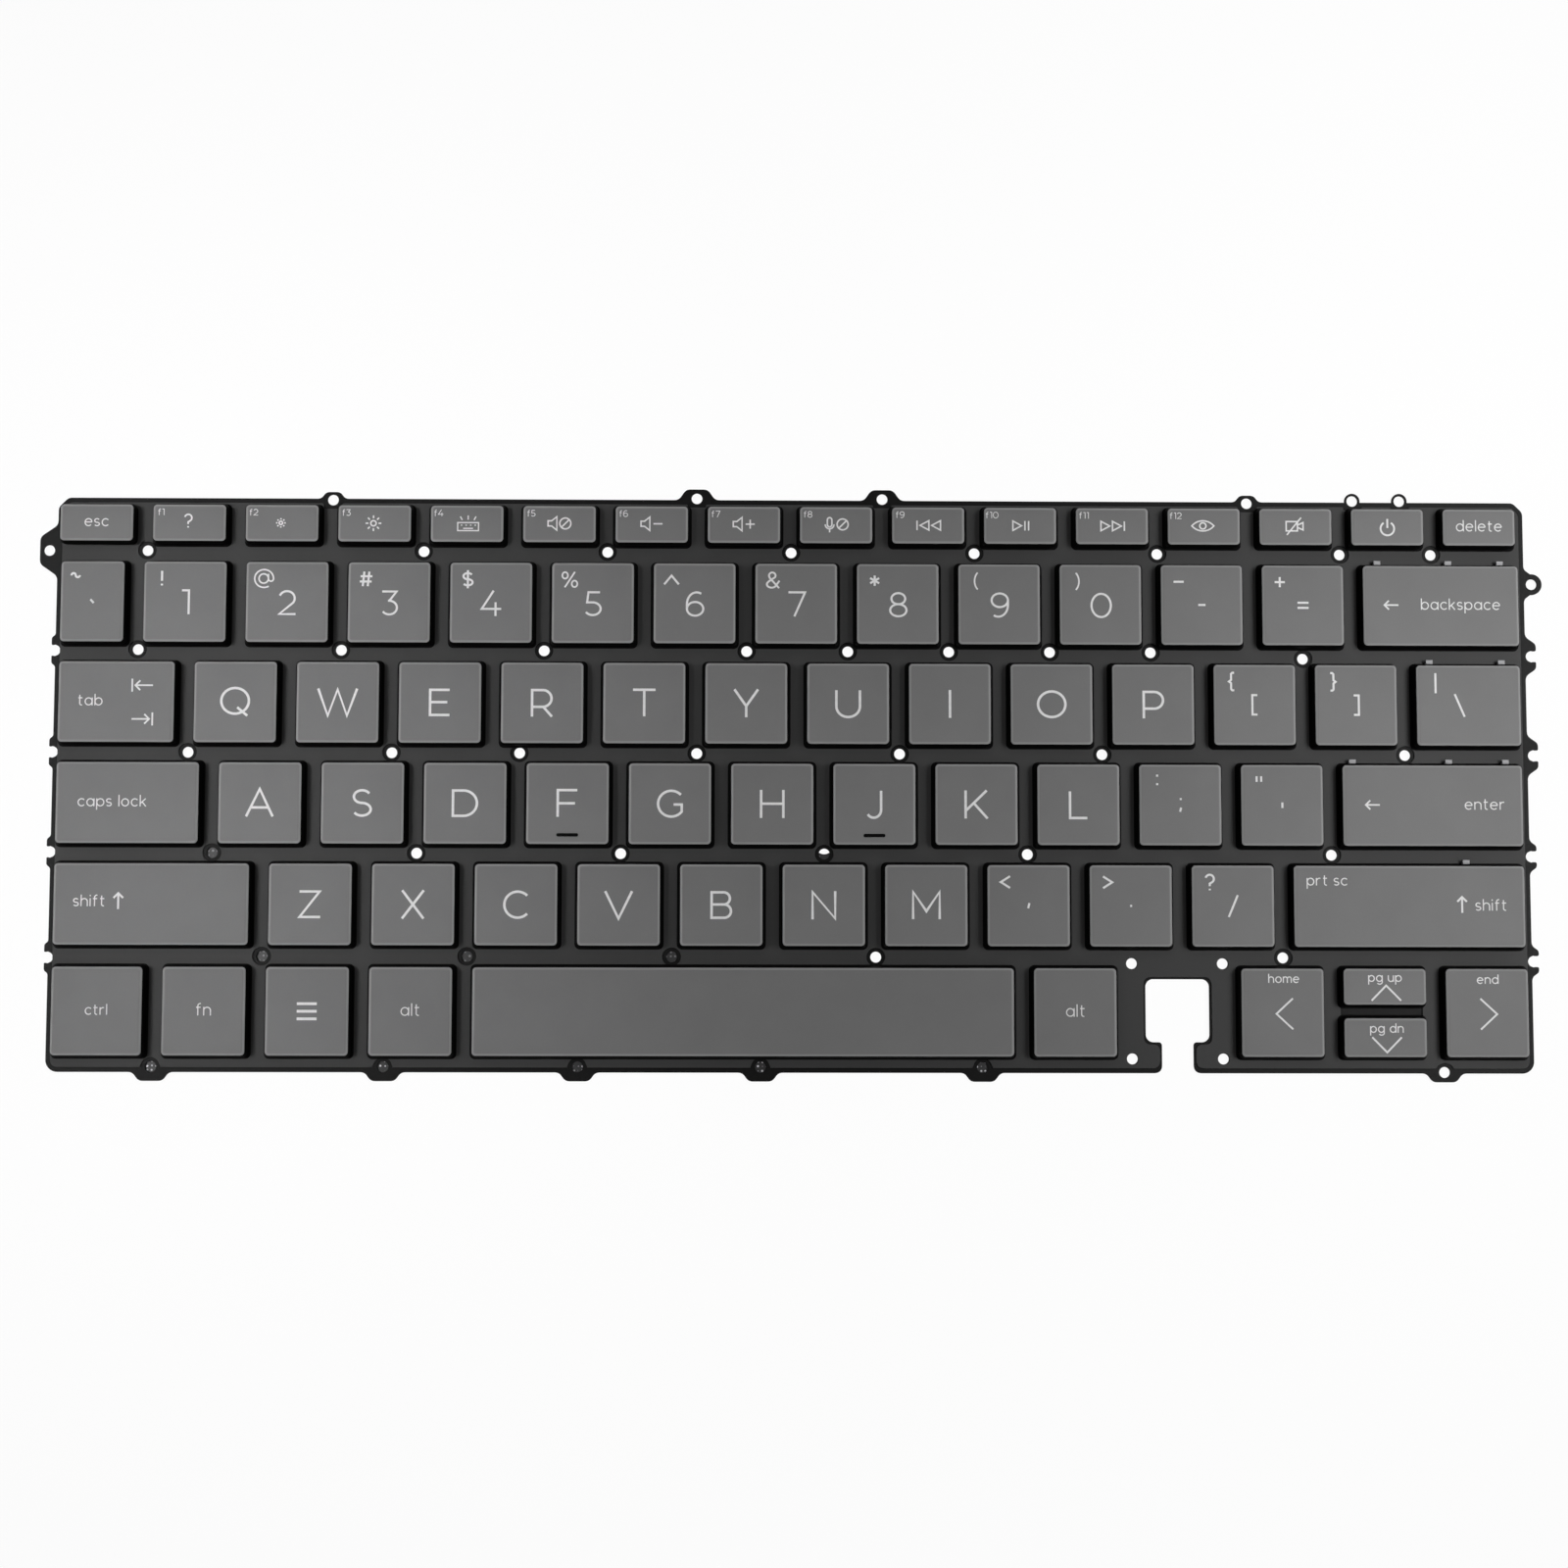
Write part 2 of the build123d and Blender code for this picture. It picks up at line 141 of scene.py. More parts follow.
class KeyboardSizes(bpy.types.PropertyGroup):
    """Sizes of the caps, the print and the sheets."""

    cap_corner: bpy.props.FloatProperty(
        name="Cap corner", description="Corner radius of a cap's top face", default=0.7 * MM,
        unit="LENGTH", precision=5,
    )
    cap_edge: bpy.props.FloatProperty(
        name="Cap edge", description="Width of the sloped edge round a cap's top", default=0.42 * MM,
        unit="LENGTH", precision=5,
    )
    cap_slope: bpy.props.FloatProperty(
        name="Cap slope", description="Drop of the sloped edge round a cap's top", default=0.14 * MM,
        unit="LENGTH", precision=5,
    )
    print_depth: bpy.props.FloatProperty(
        name="Print depth", description="Thickness of the printed legends", default=0.02 * MM,
        unit="LENGTH", precision=6,
    )
    # Painted shadow: the black rim round each cap on the membrane stands for the shade at the caps' feet
    shadow_rim: bpy.props.FloatProperty(
        name="Pad rim", description="How far the black print under a cap shows round it",
        default=0.25 * MM, unit="LENGTH", precision=5,
    )
    letter_height: bpy.props.FloatProperty(
        name="Letter height", description="Height of the large letters", default=5.15 * MM,
        unit="LENGTH", precision=5,
    )
    digit_height: bpy.props.FloatProperty(
        name="Digit height", description="Height of the digits", default=4.7 * MM,
        unit="LENGTH", precision=5,
    )
    word_height: bpy.props.FloatProperty(
        name="Word height", description="Height of a tall letter in the words", default=2.1 * MM,
        unit="LENGTH", precision=5,
    )
    sheet_corner: bpy.props.FloatProperty(
        name="Sheet corner", description="Rounding of the stamped sheets' corners", default=1.5 * MM,
        unit="LENGTH", precision=5,
    )
    sheet_edge: bpy.props.FloatProperty(
        name="Sheet edge", description="Broken edge of the stamped sheets", default=0.05 * MM,
        unit="LENGTH", precision=6,
    )


def colour(name, description, value):
    """A colour property."""
    return bpy.props.FloatVectorProperty(
        name=name, description=description, default=value, subtype="COLOR", size=3, min=0, max=1
    )


class KeyboardColours(bpy.types.PropertyGroup):
    """Colours of the finishes."""

    cap: colour("Cap", "Paint on the caps' tops", (0.15, 0.15, 0.15))
    # The sides are dark plastic, darkened further to near black as painted shade on the sides in the gaps
    skirt: colour("Skirt", "Moulded sides of the caps", (0.003, 0.003, 0.003))
    ink: colour("Ink", "Printed legends", (0.72, 0.72, 0.72))
    plate: colour("Plate", "Coating of the base plate", (0.003, 0.003, 0.003))
    film: colour("Film", "Switch membrane", (0.029, 0.029, 0.029))
    guide: colour("Guide", "Light guide", (0.020, 0.020, 0.021))
    rubber: colour("Rubber", "Domes", (0.42, 0.42, 0.41))
    arm: colour("Arm", "Scissor arms", (0.30, 0.30, 0.31))
    steel: colour("Steel", "Stabiliser bars", (0.55, 0.55, 0.54))


class Value:
    """A socket of a shader: a sum on it adds the Math nodes that work it out."""

    def __init__(self, shader, socket):
        self.shader, self.socket = shader, socket

    def combine(self, operation, first, second):
        return self.shader.node("ShaderNodeMath", {"operation": operation}, {0: first, 1: second})

    def __add__(self, other):
        return self.combine("ADD", self, other)

    def __radd__(self, other):
        return self.combine("ADD", other, self)

    def __sub__(self, other):
        return self.combine("SUBTRACT", self, other)

    def __rsub__(self, other):
        return self.combine("SUBTRACT", other, self)

    def __mul__(self, other):
        return self.combine("MULTIPLY", self, other)

    def __rmul__(self, other):
        return self.combine("MULTIPLY", other, self)


class Finish:
    """A procedural material in the making."""

    def __init__(self, name, **constants):
        self.material = bpy.data.materials.new(name)
        self.material.use_nodes = True
        self.tree = self.material.node_tree
        self.surface = self.tree.nodes["Principled BSDF"]
        for socket, value in constants.items():
            self.surface.inputs[socket.replace("_", " ")].default_value = value

    def node(self, kind, settings=None, sockets=None, out=0):
        made = self.tree.nodes.new(kind)
        for name, value in (settings or {}).items():
            if name == "stops":
                for element, (place, shade) in zip(made.color_ramp.elements, value, strict=True):
                    element.position, element.color = place, (shade, shade, shade, 1)
            else:
                setattr(made, name, value)
        for name, value in (sockets or {}).items():
            self.plug(made.inputs[name], value)
        return Value(self, made.outputs[out])

    def plug(self, socket, value):
        if isinstance(value, Value):
            self.tree.links.new(value.socket, socket)
        else:
            socket.default_value = value

    def place(self):
        return self.node("ShaderNodeTexCoord", out="Object")

    def part(self, vector, axis):
        return self.node("ShaderNodeSeparateXYZ", None, {"Vector": vector}, out=axis)

    def noise(self, place, size, detail=2.0):
        """Noise whose patches are about that many metres wide."""
        return self.node("ShaderNodeTexNoise", None, {"Vector": place, "Scale": 1 / size, "Detail": detail})

    def spread(self, base, share, factor):
        """A colour that a factor from 0 to 1 makes darker or lighter by a share."""
        dark, light = ((*(c * (1 + side * share) for c in base), 1) for side in (-1, 1))
        return self.node(
            "ShaderNodeMix", {"data_type": "RGBA"}, {"Factor": factor, 6: dark, 7: light}, out=2
        )

    def finish(self, colour=None, roughness=None, height=None, relief=0.0):
        if colour is not None:
            self.plug(self.surface.inputs["Base Color"], colour)
        if roughness is not None:
            self.plug(self.surface.inputs["Roughness"], roughness)
        if height is not None:
            bump = self.node("ShaderNodeBump", None, {"Strength": 1.0, "Distance": relief, "Height": height})
            self.plug(self.surface.inputs["Normal"], bump)
        return self.material


def soft_paint(name, base):
    """Soft-touch paint: a fine dust grain, faint clouds, painted light that makes each cap lighter towards
    its front, and a painted highlight on the sloped edges.
    """
    paint = Finish(name, Specular_IOR_Level=0.3)
    place = paint.place()
    cloud = paint.noise(place, 9 * MM)
    grain = paint.noise(place, 0.16 * MM)
    along = paint.part(paint.node("ShaderNodeTexCoord", out="Generated"), "Y")
    upright = paint.part(paint.node("ShaderNodeNewGeometry", out="Normal"), "Z")
    # Painted light: 0.3 * (1 - along) makes each cap's top lighter towards its front edge
    tone = paint.spread(base, 0.16, 0.45 * cloud + 0.35 * grain + 0.3 * (1.0 - along) - 0.05)
    # Painted highlight: where the normal tilts away from straight up, on the sloped edges, the colour is
    # mixed towards one 1.7 times as light
    slope = paint.node("ShaderNodeClamp", None, {"Value": 12.0 * (1.0 - upright)})
    painted_edge_highlight = (*(1.7 * c for c in base), 1)
    tone = paint.node("ShaderNodeMix", {"data_type": "RGBA"}, {"Factor": slope, 6: tone, 7: painted_edge_highlight}, out=2)
    return paint.finish(tone, 0.44 + 0.2 * grain, grain, 0.012 * MM)


def moulded(name, base, rough, grain_size=0.12 * MM, share=0.25, shine=0.4):
    """Moulded plastic with a fine spark-eroded grain."""
    plastic = Finish(name, Specular_IOR_Level=shine)
    place = plastic.place()
    grain = plastic.noise(place, grain_size)
    flow = plastic.noise(place, 5 * MM)
    tone = plastic.spread(base, share, 0.6 * flow + 0.4 * grain)
    return plastic.finish(tone, rough - 0.1 + 0.2 * grain, grain, 0.008 * MM)


def printed(name, base):
    """Screen print: slightly uneven white ink."""
    ink = Finish(name, Specular_IOR_Level=0.3)
    place = ink.place()
    patch = ink.noise(place, 0.7 * MM)
    return ink.finish(ink.spread(base, 0.1, patch), 0.5 + 0.2 * patch)


def coated(name, base):
    """Black coated steel with a little orange peel."""
    coat = Finish(name, Specular_IOR_Level=0.12)
    place = coat.place()
    peel = coat.noise(place, 0.35 * MM)
    rub = coat.noise(place, 14 * MM, 4.0)
    return coat.finish(coat.spread(base, 0.35, rub), 0.42 + 0.16 * peel, peel, 0.01 * MM)


def filmed(name, base):
    """Satin film with a fine rolled grain and soft clouds."""
    film = Finish(name, Specular_IOR_Level=0.3)
    place = film.place()
    grain = film.noise(place, 0.1 * MM)
    cloud = film.noise(place, 18 * MM, 3.0)
    tone = film.spread(base, 0.3, 0.75 * cloud + 0.25 * grain)
    return film.finish(tone, 0.5 + 0.2 * cloud, grain, 0.004 * MM)


def dotted(name, base):
    """Light guide: dark film with the rows of fine dots that let the light out; at the very front the dots
    are lit up fully as painted glints.
    """
    pitch, glint_edge, brighter = 0.8 * MM, -50 * MM, 40
    guide = Finish(name, Specular_IOR_Level=0.4)
    place = guide.place()
    dots = guide.node(
        "ShaderNodeTexVoronoi", {"feature": "F1"}, {"Vector": place, "Scale": 1 / pitch, "Randomness": 0.15}
    )
    dot = guide.node("ShaderNodeValToRGB", {"stops": ((0.34, 1.0), (0.44, 0.0))}, {"Fac": dots})
    front = guide.node(
        "ShaderNodeMath", {"operation": "LESS_THAN"}, {0: guide.part(place, "Y"), 1: glint_edge}
    )
    dark, light = (*base, 1), (*(c * brighter for c in base), 1)
    # Painted glints: at the very front the dots take their full share of the light colour, elsewhere only a
    # fifth of it
    share = dot * (0.2 + 0.8 * front)
    tone = guide.node("ShaderNodeMix", {"data_type": "RGBA"}, {"Factor": share, 6: dark, 7: light}, out=2)
    return guide.finish(tone, 0.3 + 0.3 * guide.noise(place, 6 * MM))


def drawn_steel(name, base):
    """Bright drawn wire."""
    wire = Finish(name, Metallic=1.0)
    place = wire.place()
    streak = wire.noise(place, 0.25 * MM)
    return wire.finish(wire.spread(base, 0.15, streak), 0.28 + 0.15 * streak)


FINISHES = {}


def finishes():
    """All materials by name, made once."""
    if not FINISHES:
        tint = bpy.context.scene.keyboard_colours
        FINISHES.update(
            cap=soft_paint("cap_paint", tint.cap),
            # Painted shade in part: the skirt finish is darker and duller than the sides' dark plastic alone,
            # to stand for their shade in the gaps
            skirt=moulded("cap_skirt", tint.skirt, 0.6, shine=0.03),
            ink=printed("legend_ink", tint.ink),
            plate=coated("plate_coat", tint.plate),
            film=filmed("membrane_film", tint.film),
            guide=dotted("guide_film", tint.guide),
            rubber=moulded("dome_rubber", tint.rubber, 0.6, 0.3 * MM, 0.1),
            arm=moulded("arm_plastic", tint.arm, 0.45, share=0.1),
            steel=drawn_steel("bar_steel", tint.steel),
        )
    return FINISHES


class Shell:
    """Rings and faces of one piece, gathered until the piece is made."""

    def __init__(self, *slots):
        self.points, self.faces, self.paints, self.slots = [], [], [], slots

    def ring(self, points):
        start = len(self.points)
        self.points += points
        return range(start, len(self.points))

    def face(self, corners, slot=0):
        self.faces.append(tuple(corners))
        self.paints.append(slot)

    def band(self, low, high, slot=0, closed=True):
        """Quads between two rings, whose outside is on the right of the lower ring."""
        count = len(low)
        for i in range(count if closed else count - 1):
            j = (i + 1) % count
            self.face((low[i], low[j], high[j], high[i]), slot)

    def stack(self, rings, slots):
        """Bands between rings in order; slots holds one finish for each band."""
        made = [self.ring(points) for points in rings]
        for low, high, slot in zip(made[:-1], made[1:], slots, strict=True):
            self.band(low, high, slot)
        return made

    def solid(self, rings, slots):
        """A stack with a face on both ends."""
        made = self.stack(rings, slots)
        self.face(made[-1], slots[-1])
        self.face(reversed(made[0]), slots[0])

    def piece(self, name, body, crease=35):
        mesh = bpy.data.meshes.new(name)
        mesh.from_pydata(self.points, [], self.faces)
        for slot in self.slots:
            mesh.materials.append(finishes()[slot])
        mesh.polygons.foreach_set("material_index", self.paints)
        mesh.polygons.foreach_set("use_smooth", [True] * len(self.faces))
        mesh.set_sharp_from_angle(angle=radians(crease))
        mesh.update()
        made = bpy.data.objects.new(name, mesh)
        bpy.context.scene.collection.objects.link(made)
        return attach(made, body)


def round_points(x, y, radius, steps):
    """Points round a circle, anticlockwise."""
    turns = [2 * pi * i / steps for i in range(steps)]
    return [(x + radius * cos(turn), y + radius * sin(turn)) for turn in turns]


def beside(points, shift, closed):
    """The line beside a line of points, to its left by the shift, with blunted mitres."""
    made, count, blunt = [], len(points), 0.5
    for i, (x, y) in enumerate(points):
        before = points[i - 1] if closed or i else None
        after = points[(i + 1) % count] if closed or i < count - 1 else None
        ways = [
            Vector((b[0] - a[0], b[1] - a[1])).normalized()
            for a, b in ((before, (x, y)), ((x, y), after))
            if a and b
        ]
        way = sum(ways, Vector((0, 0)))
        way = way.normalized() if way.length > 1e-6 else ways[0]
        reach = shift / max(way.dot(ways[0]), blunt)
        made.append((x - way.y * reach, y + way.x * reach))
    return made


def area(loop):
    """Area inside a loop of points, positive if it runs anticlockwise."""
    return sum(a[0] * b[1] - a[1] * b[0] for a, b in zip(loop, loop[1:] + loop[:1])) / 2


def rim_loops(node):
    """The outline and the holes of a flat CAD node, seen from above, largest first."""
    mesh = welded(node)
    top = {f for f in mesh.faces if f.normal.z > 0.99}
    after = {}
    for face in top:
        for corner in face.loops:
            if sum(f in top for f in corner.edge.link_faces) == 1:
                after[corner.vert] = corner.link_loop_next.vert
    loops = []
    while after:
        start, vert = next(iter(after.items()))
        loop = [start]
        del after[start]
        while vert is not start:
            loop.append(vert)
            vert = after.pop(vert)
        loops.append([(v.co.x, v.co.y) for v in loop])
    mesh.free()
    return sorted(loops, key=lambda loop: -abs(area(loop)))


def softened(loop, radius):
    """A loop whose sharp corners are arcs of that radius, or less where there is no room."""
    straight, arc_step, room = radians(20), radians(12), 0.45
    made, count = [], len(loop)
    for i in range(count):
        before, here, after = (Vector(loop[(i + k) % count]) for k in (-1, 0, 1))
        back, ahead = before - here, after - here
        turn = pi - back.angle(ahead)
        if turn < straight:
            made.append(tuple(here))
            continue
        run = min(radius * tan(turn / 2), room * back.length, room * ahead.length)
        steps = max(2, ceil(turn / arc_step))
        start, end = here + back.normalized() * run, here + ahead.normalized() * run
        for step in range(steps + 1):
            t = step / steps
            made.append(tuple((1 - t) ** 2 * start + 2 * t * (1 - t) * here + t * t * end))
    return made


def hole_ring(loop, steps=40):
    """The round hole that fits inside a hole of straight sides, running clockwise; a slot keeps its sides."""
    x, y = (sum(p[k] for p in loop) / len(loop) for k in (0, 1))
    reaches = [
        hypot((a[0] + b[0]) / 2 - x, (a[1] + b[1]) / 2 - y) for a, b in zip(loop, loop[1:] + loop[:1])
    ]
    radius = min(reaches)
    if max(reaches) > 2 * radius:
        return softened(loop, radius / 2)
    return [(x + radius * cos(a), y + radius * sin(a)) for a in (-2 * pi * i / steps for i in range(steps))]


def stamped_sheet(name, node, slot):
    """A flat sheet in a CAD node's place: rounded corners, round holes and broken edges."""
    sizes = bpy.context.scene.keyboard_sizes
    low, high = (corner.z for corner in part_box(node))
    outline, *holes = rim_loops(node)
    loops = [softened(outline, sizes.sheet_corner), *map(hole_ring, holes)]
    edge = sizes.sheet_edge
    mesh = bmesh.new()
    rims = {low: [], high: []}
    for loop in loops:
        inner = beside(loop, edge, True)
        levels = ((inner, low), (loop, low + edge), (loop, high - edge), (inner, high))
        rings = [[mesh.verts.new((x, y, z)) for x, y in points] for points, z in levels]
        for lower, upper in zip(rings, rings[1:]):
            for i in range(len(loop)):
                mesh.faces.new((lower[i - 1], lower[i], upper[i], upper[i - 1]))
        for ring, z in ((rings[0], low), (rings[-1], high)):
            rims[z] += [mesh.edges.get((ring[i - 1], ring[i])) for i in range(len(loop))]
    for z, edges in rims.items():
        way = (0, 0, 1 if z == high else -1)
        bmesh.ops.triangle_fill(mesh, use_beauty=True, use_dissolve=False, edges=edges, normal=way)
    bmesh.ops.recalc_face_normals(mesh, faces=mesh.faces)
    shell = Shell(slot)
    shell.points = [tuple(v.co) for v in mesh.verts]
    mesh.verts.index_update()
    for face in mesh.faces:
        shell.face([v.index for v in face.verts])
    mesh.free()
    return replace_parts(shell.piece(name, "base", 20), node)


def corner_ring(key, grow, radius, z, steps=6):
    """A ring round a key at a level: its top face's outline grown outwards, with round corners."""
    half_w, half_d = key.width / 2 + grow - radius, key.depth / 2 + grow - radius
    points = []
    for quarter, (right, back) in enumerate(((1, 1), (-1, 1), (-1, -1), (1, -1))):
        for step in range(steps + 1):
            turn = (quarter + step / steps) * pi / 2
            points.append(
                (key.x + right * half_w + radius * cos(turn), key.y + back * half_d + radius * sin(turn), z)
            )
    return points


def cap_shell(key):
    """Hollow cap: painted top with a rolled edge, drafted dark sides and an open pocket below."""
    sizes = bpy.context.scene.keyboard_sizes
    corner, edge, slope = sizes.cap_corner, sizes.cap_edge, sizes.cap_slope
    face_z = TOP_Z - sizes.print_depth
    brow_z = face_z - slope
    rim = 0.08 * MM
    inside = CAP_SPREAD - CAP_WALL

    def draft(z):
        return CAP_SPREAD * (TOP_Z - z) / (TOP_Z - SKIRT_Z)

    # Each ring: how far it stands out from the top face's outline, its corner radius and its level.
    # They run from the pocket's roof down its wall, round the skirt and up the side to the top.
    shell = Shell("cap", "skirt")
    rings = [
        corner_ring(key, inside, 0.4 * MM, ROOF_Z),
        corner_ring(key, inside, 0.4 * MM, SKIRT_Z + rim),
        corner_ring(key, inside + rim, 0.45 * MM, SKIRT_Z),
        corner_ring(key, CAP_SPREAD - rim, corner + 0.2 * MM, SKIRT_Z),
        corner_ring(key, draft(SKIRT_Z + rim), corner + 0.25 * MM, SKIRT_Z + rim),
        corner_ring(key, draft(brow_z - 0.16 * MM), corner + 0.04 * MM, brow_z - 0.16 * MM),
        corner_ring(key, 0.01 * MM, corner + 0.01 * MM, brow_z - 0.05 * MM),
        corner_ring(key, -0.06 * MM, corner - 0.06 * MM, brow_z),
        corner_ring(key, 0.06 * MM - edge, corner - 0.25 * MM, face_z - 0.015 * MM),
        corner_ring(key, -edge, corner - 0.3 * MM, face_z),
        corner_ring(key, -edge - 0.15 * MM, corner - 0.35 * MM, face_z),
    ]
    shell.solid(rings, [1, 1, 1, 1, 1, 1, 0, 0, 0, 0])
    return shell


def home_bar(shell, key):
    """The raised bar on a home key's cap, as long and high as the frame's; it takes the near-black skirt
    finish as painted shade on its front face.
    """
    forward, width, depth, sunk, steps = 5.75 * MM, 4.0 * MM, 0.6 * MM, 0.05 * MM, 4
    bar = Key("bar", key.x, key.y - forward, width, depth, key.body)
    rings = [
        corner_ring(bar, 0, 0.28 * MM, TOP_Z - sunk, steps),
        corner_ring(bar, 0, 0.28 * MM, HOME_TOP_Z - 0.1 * MM, steps),
        corner_ring(bar, -0.05 * MM, 0.22 * MM, HOME_TOP_Z - 0.02 * MM, steps),
        corner_ring(bar, -0.14 * MM, 0.14 * MM, HOME_TOP_Z, steps),
    ]
    # Painted shade: slot 1, the near-black skirt finish, stands for the shade on the bar's front face
    shell.solid(rings, [1, 1, 1])


# Letter forms as pen paths. A height of 100 is a capital's; points are x,y, and an arc is
# @centre x,centre y,radius x,radius y,from angle,to angle. A semicolon lifts the pen, which it does
# before a line would run over itself.
LETTERS = {
    "A": "4,0 51,98 98,0; 21,32 81,32",
    "B": "5,0.5 5,99.5; 5,95 48,95 @48,73.5,21.5,21.5,90,-90; 5,52 50,52 @50,28.5,23.5,23.5,90,-90 5,5",
    "C": "@52,50,47,46,44,316",
    "D": "5,5 43,5 @43,50,47,45,-90,90 5,95 5,5",
    "E": "74,95 5,95 5,5 74,5; 5,51 66,51",
    "F": "74,95 5,95 5,0; 5,48 66,48",
    "G": "@52,50,47,46,44,322 89,47 60,47",
    "H": "5,0 5,100; 84,0 84,100; 5,51 84,51",
    "I": "5,0 5,100",
    "J": "57,100 57,32 @31,32,26,28,0,-145",
    "K": "5,0 5,100; 80,100 5,27; 34,55 83,0",
    "L": "5,100 5,5 66,5",
    "M": "5,0 5,97 52,28 99,97 99,0",
    "N": "5,0 5,97 85,3 85,100",
    "O": "@54,50,49,46,90,450",
    "P": "5,0 5,99.5; 5,95 43,95 @43,65,31,30,90,-90 5,35",
    "Q": "@54,50,49,46,90,450; 62,27 98,-3",
    "R": "5,0 5,99.5; 5,95 43,95 @43,65,31,30,90,-90 5,35; 45,35 76,0",
    "S": "@38,73,29,22.5,30,270 @38,28,31,22.5,90,-148",
    "T": "0,95 80,95; 40,95 40,0",
    "U": "5,100 5,42 @47,42,42,38,180,360 89,100",
    "V": "2,100 49.5,3 97,100",
    "W": "2,100 37,3 71,97 105,3 140,100",
    "X": "3,0 79,100; 3,100 79,0",
    "Y": "2,100 44,40 86,100; 44,44 44,0",
    "Z": "5,95 76,95 6,5 79,5",
    "0": "@43,50,38,46,90,450",
    "1": "0,94 27,94 27,0",
    "2": "@36,67,30,28.5,158,-38 6,5 70,5",
    "3": "6,95 62,95 33,57; 29,58.5 @34,31.5,30,27,90,-145",
    "4": "50,100 4,28 80,28; 58,54 58,0",
    "5": "62,95 17,95 12,55 34,55 @34,30,31,25,90,-148",
    "6": "@40,31,32,27,0,360; 8,31 8,50 @46,50,38,46,180,62",
    "7": "3,95 68,95 26,0",
    "8": "@38,73.5,27,22,90,450; @38,28,32,24,90,450",
    "9": "@36,69,32,27,0,360; 68,69 68,50 @30,50,38,46,0,-118",
    "a": "@34,35,30,31,0,360; 65,69 65,0",
    "b": "5,100 5,0; @36,35,30,31,0,360",
    "c": "@35,35,30,31,42,318",
    "d": "65,100 65,0; @34,35,30,31,0,360",
    "e": "@35,35,30,31,4,316; 5,37 65,37",
    "f": "14,0 14,78 @34,78,20,18,180,80; 0,66 36,66",
    "g": "@34,35,30,31,0,360; 65,69 65,-2 @37,-2,28,24,0,-150",
    "h": "5,100 5,0; 5,40 @32,40,27,26,180,0 59,0",
    "i": "5,69 5,0; 5,98 5,86",
    "k": "5,100 5,0; 52,68 5,25; 22,40 54,0",
    "l": "5,100 5,0",
    "m": "5,69 5,0; 5,44 @27,44,22,22,180,0 49,0; 49,44 @71,44,22,22,180,0 93,0",
    "n": "5,69 5,0; 5,41 @32,41,27,25,180,0 59,0",
    "o": "@35,35,30,31,0,360",
    "p": "5,69 5,-30; @36,35,30,31,0,360",
    "r": "5,69 5,0; 5,38 @33,38,28,28,180,72",
    "s": "@26,50,20,16,30,270 @26,19,21,15,90,-150",
    "t": "13,92 13,18 @30,18,17,15,180,285; 0,66 36,66",
    "u": "5,69 5,29 @32,29,27,26,180,360; 59,69 59,0",
    "~": "0,40 @14,42,14,14,180,0 @42,42,14,14,180,360",
    "`": "4,74 26,50",
    "!": "5,100 5,32; 5,12 5,0",
    "@": "@52,48,48,46,300,0 @87,48,13,14,0,-180 74,72; @50,48,24,24,0,360",
    "#": "20,0 30,100; 54,0 64,100; 0,32 80,32; 5,68 85,68",
    "$": "@38,69,27,19,30,270 @38,31,29,19,90,-148; 38,106 38,-6",
    "%": "@20,76,17,20,0,360; @78,24,17,20,0,360; 80,98 18,2",
    "^": "0,20 50,80 100,20",
    "&": "80,0 22,64 @38,78,20,19,215,-20; @38,78,20,19,0,-35 14,40 @34,24,29,21,135,300; "
    "@34,24,29,21,290,320 82,46",
    "*": "32,24 32,84; 6,39 58,69; 6,69 58,39",
    "(": "@60,50,52,66,130,230",
    ")": "@-32,50,52,66,50,-50",
    "_": "0,46 70,46",
    "+": "0,50 70,50; 35,15 35,85",
    "{": "40,104 28,104 21,97 21,60 8,50 21,40 21,3 28,-4 40,-4",
    "}": "0,104 12,104 19,97 19,60 32,50 19,40 19,3 12,-4 0,-4",
    "|": "5,112 5,-12",
    ":": "5,72 5,58; 5,14 5,0",
    "\"": "5,88 5,50; 36,88 36,50",
    "<": "66,88 6,50 66,12",
    ">": "6,88 66,50 6,12",
    "?": "@30,72,26,26,165,-50 30,42 30,26; 30,10 30,0",
    "-": "0,46 44,46",
    "=": "0,64 60,64; 0,36 60,36",
    "[": "28,95 5,95 5,5 28,5",
    "]": "0,95 23,95 23,5 0,5",
    "\\": "0,100 42,0",
    ";": "7,70 7,58; 9,12 2,-14",
    "'": "5,90 5,56",
    ",": "10,14 3,-14",
    ".": "5,12 5,0",
    "/": "0,0 42,100",
}

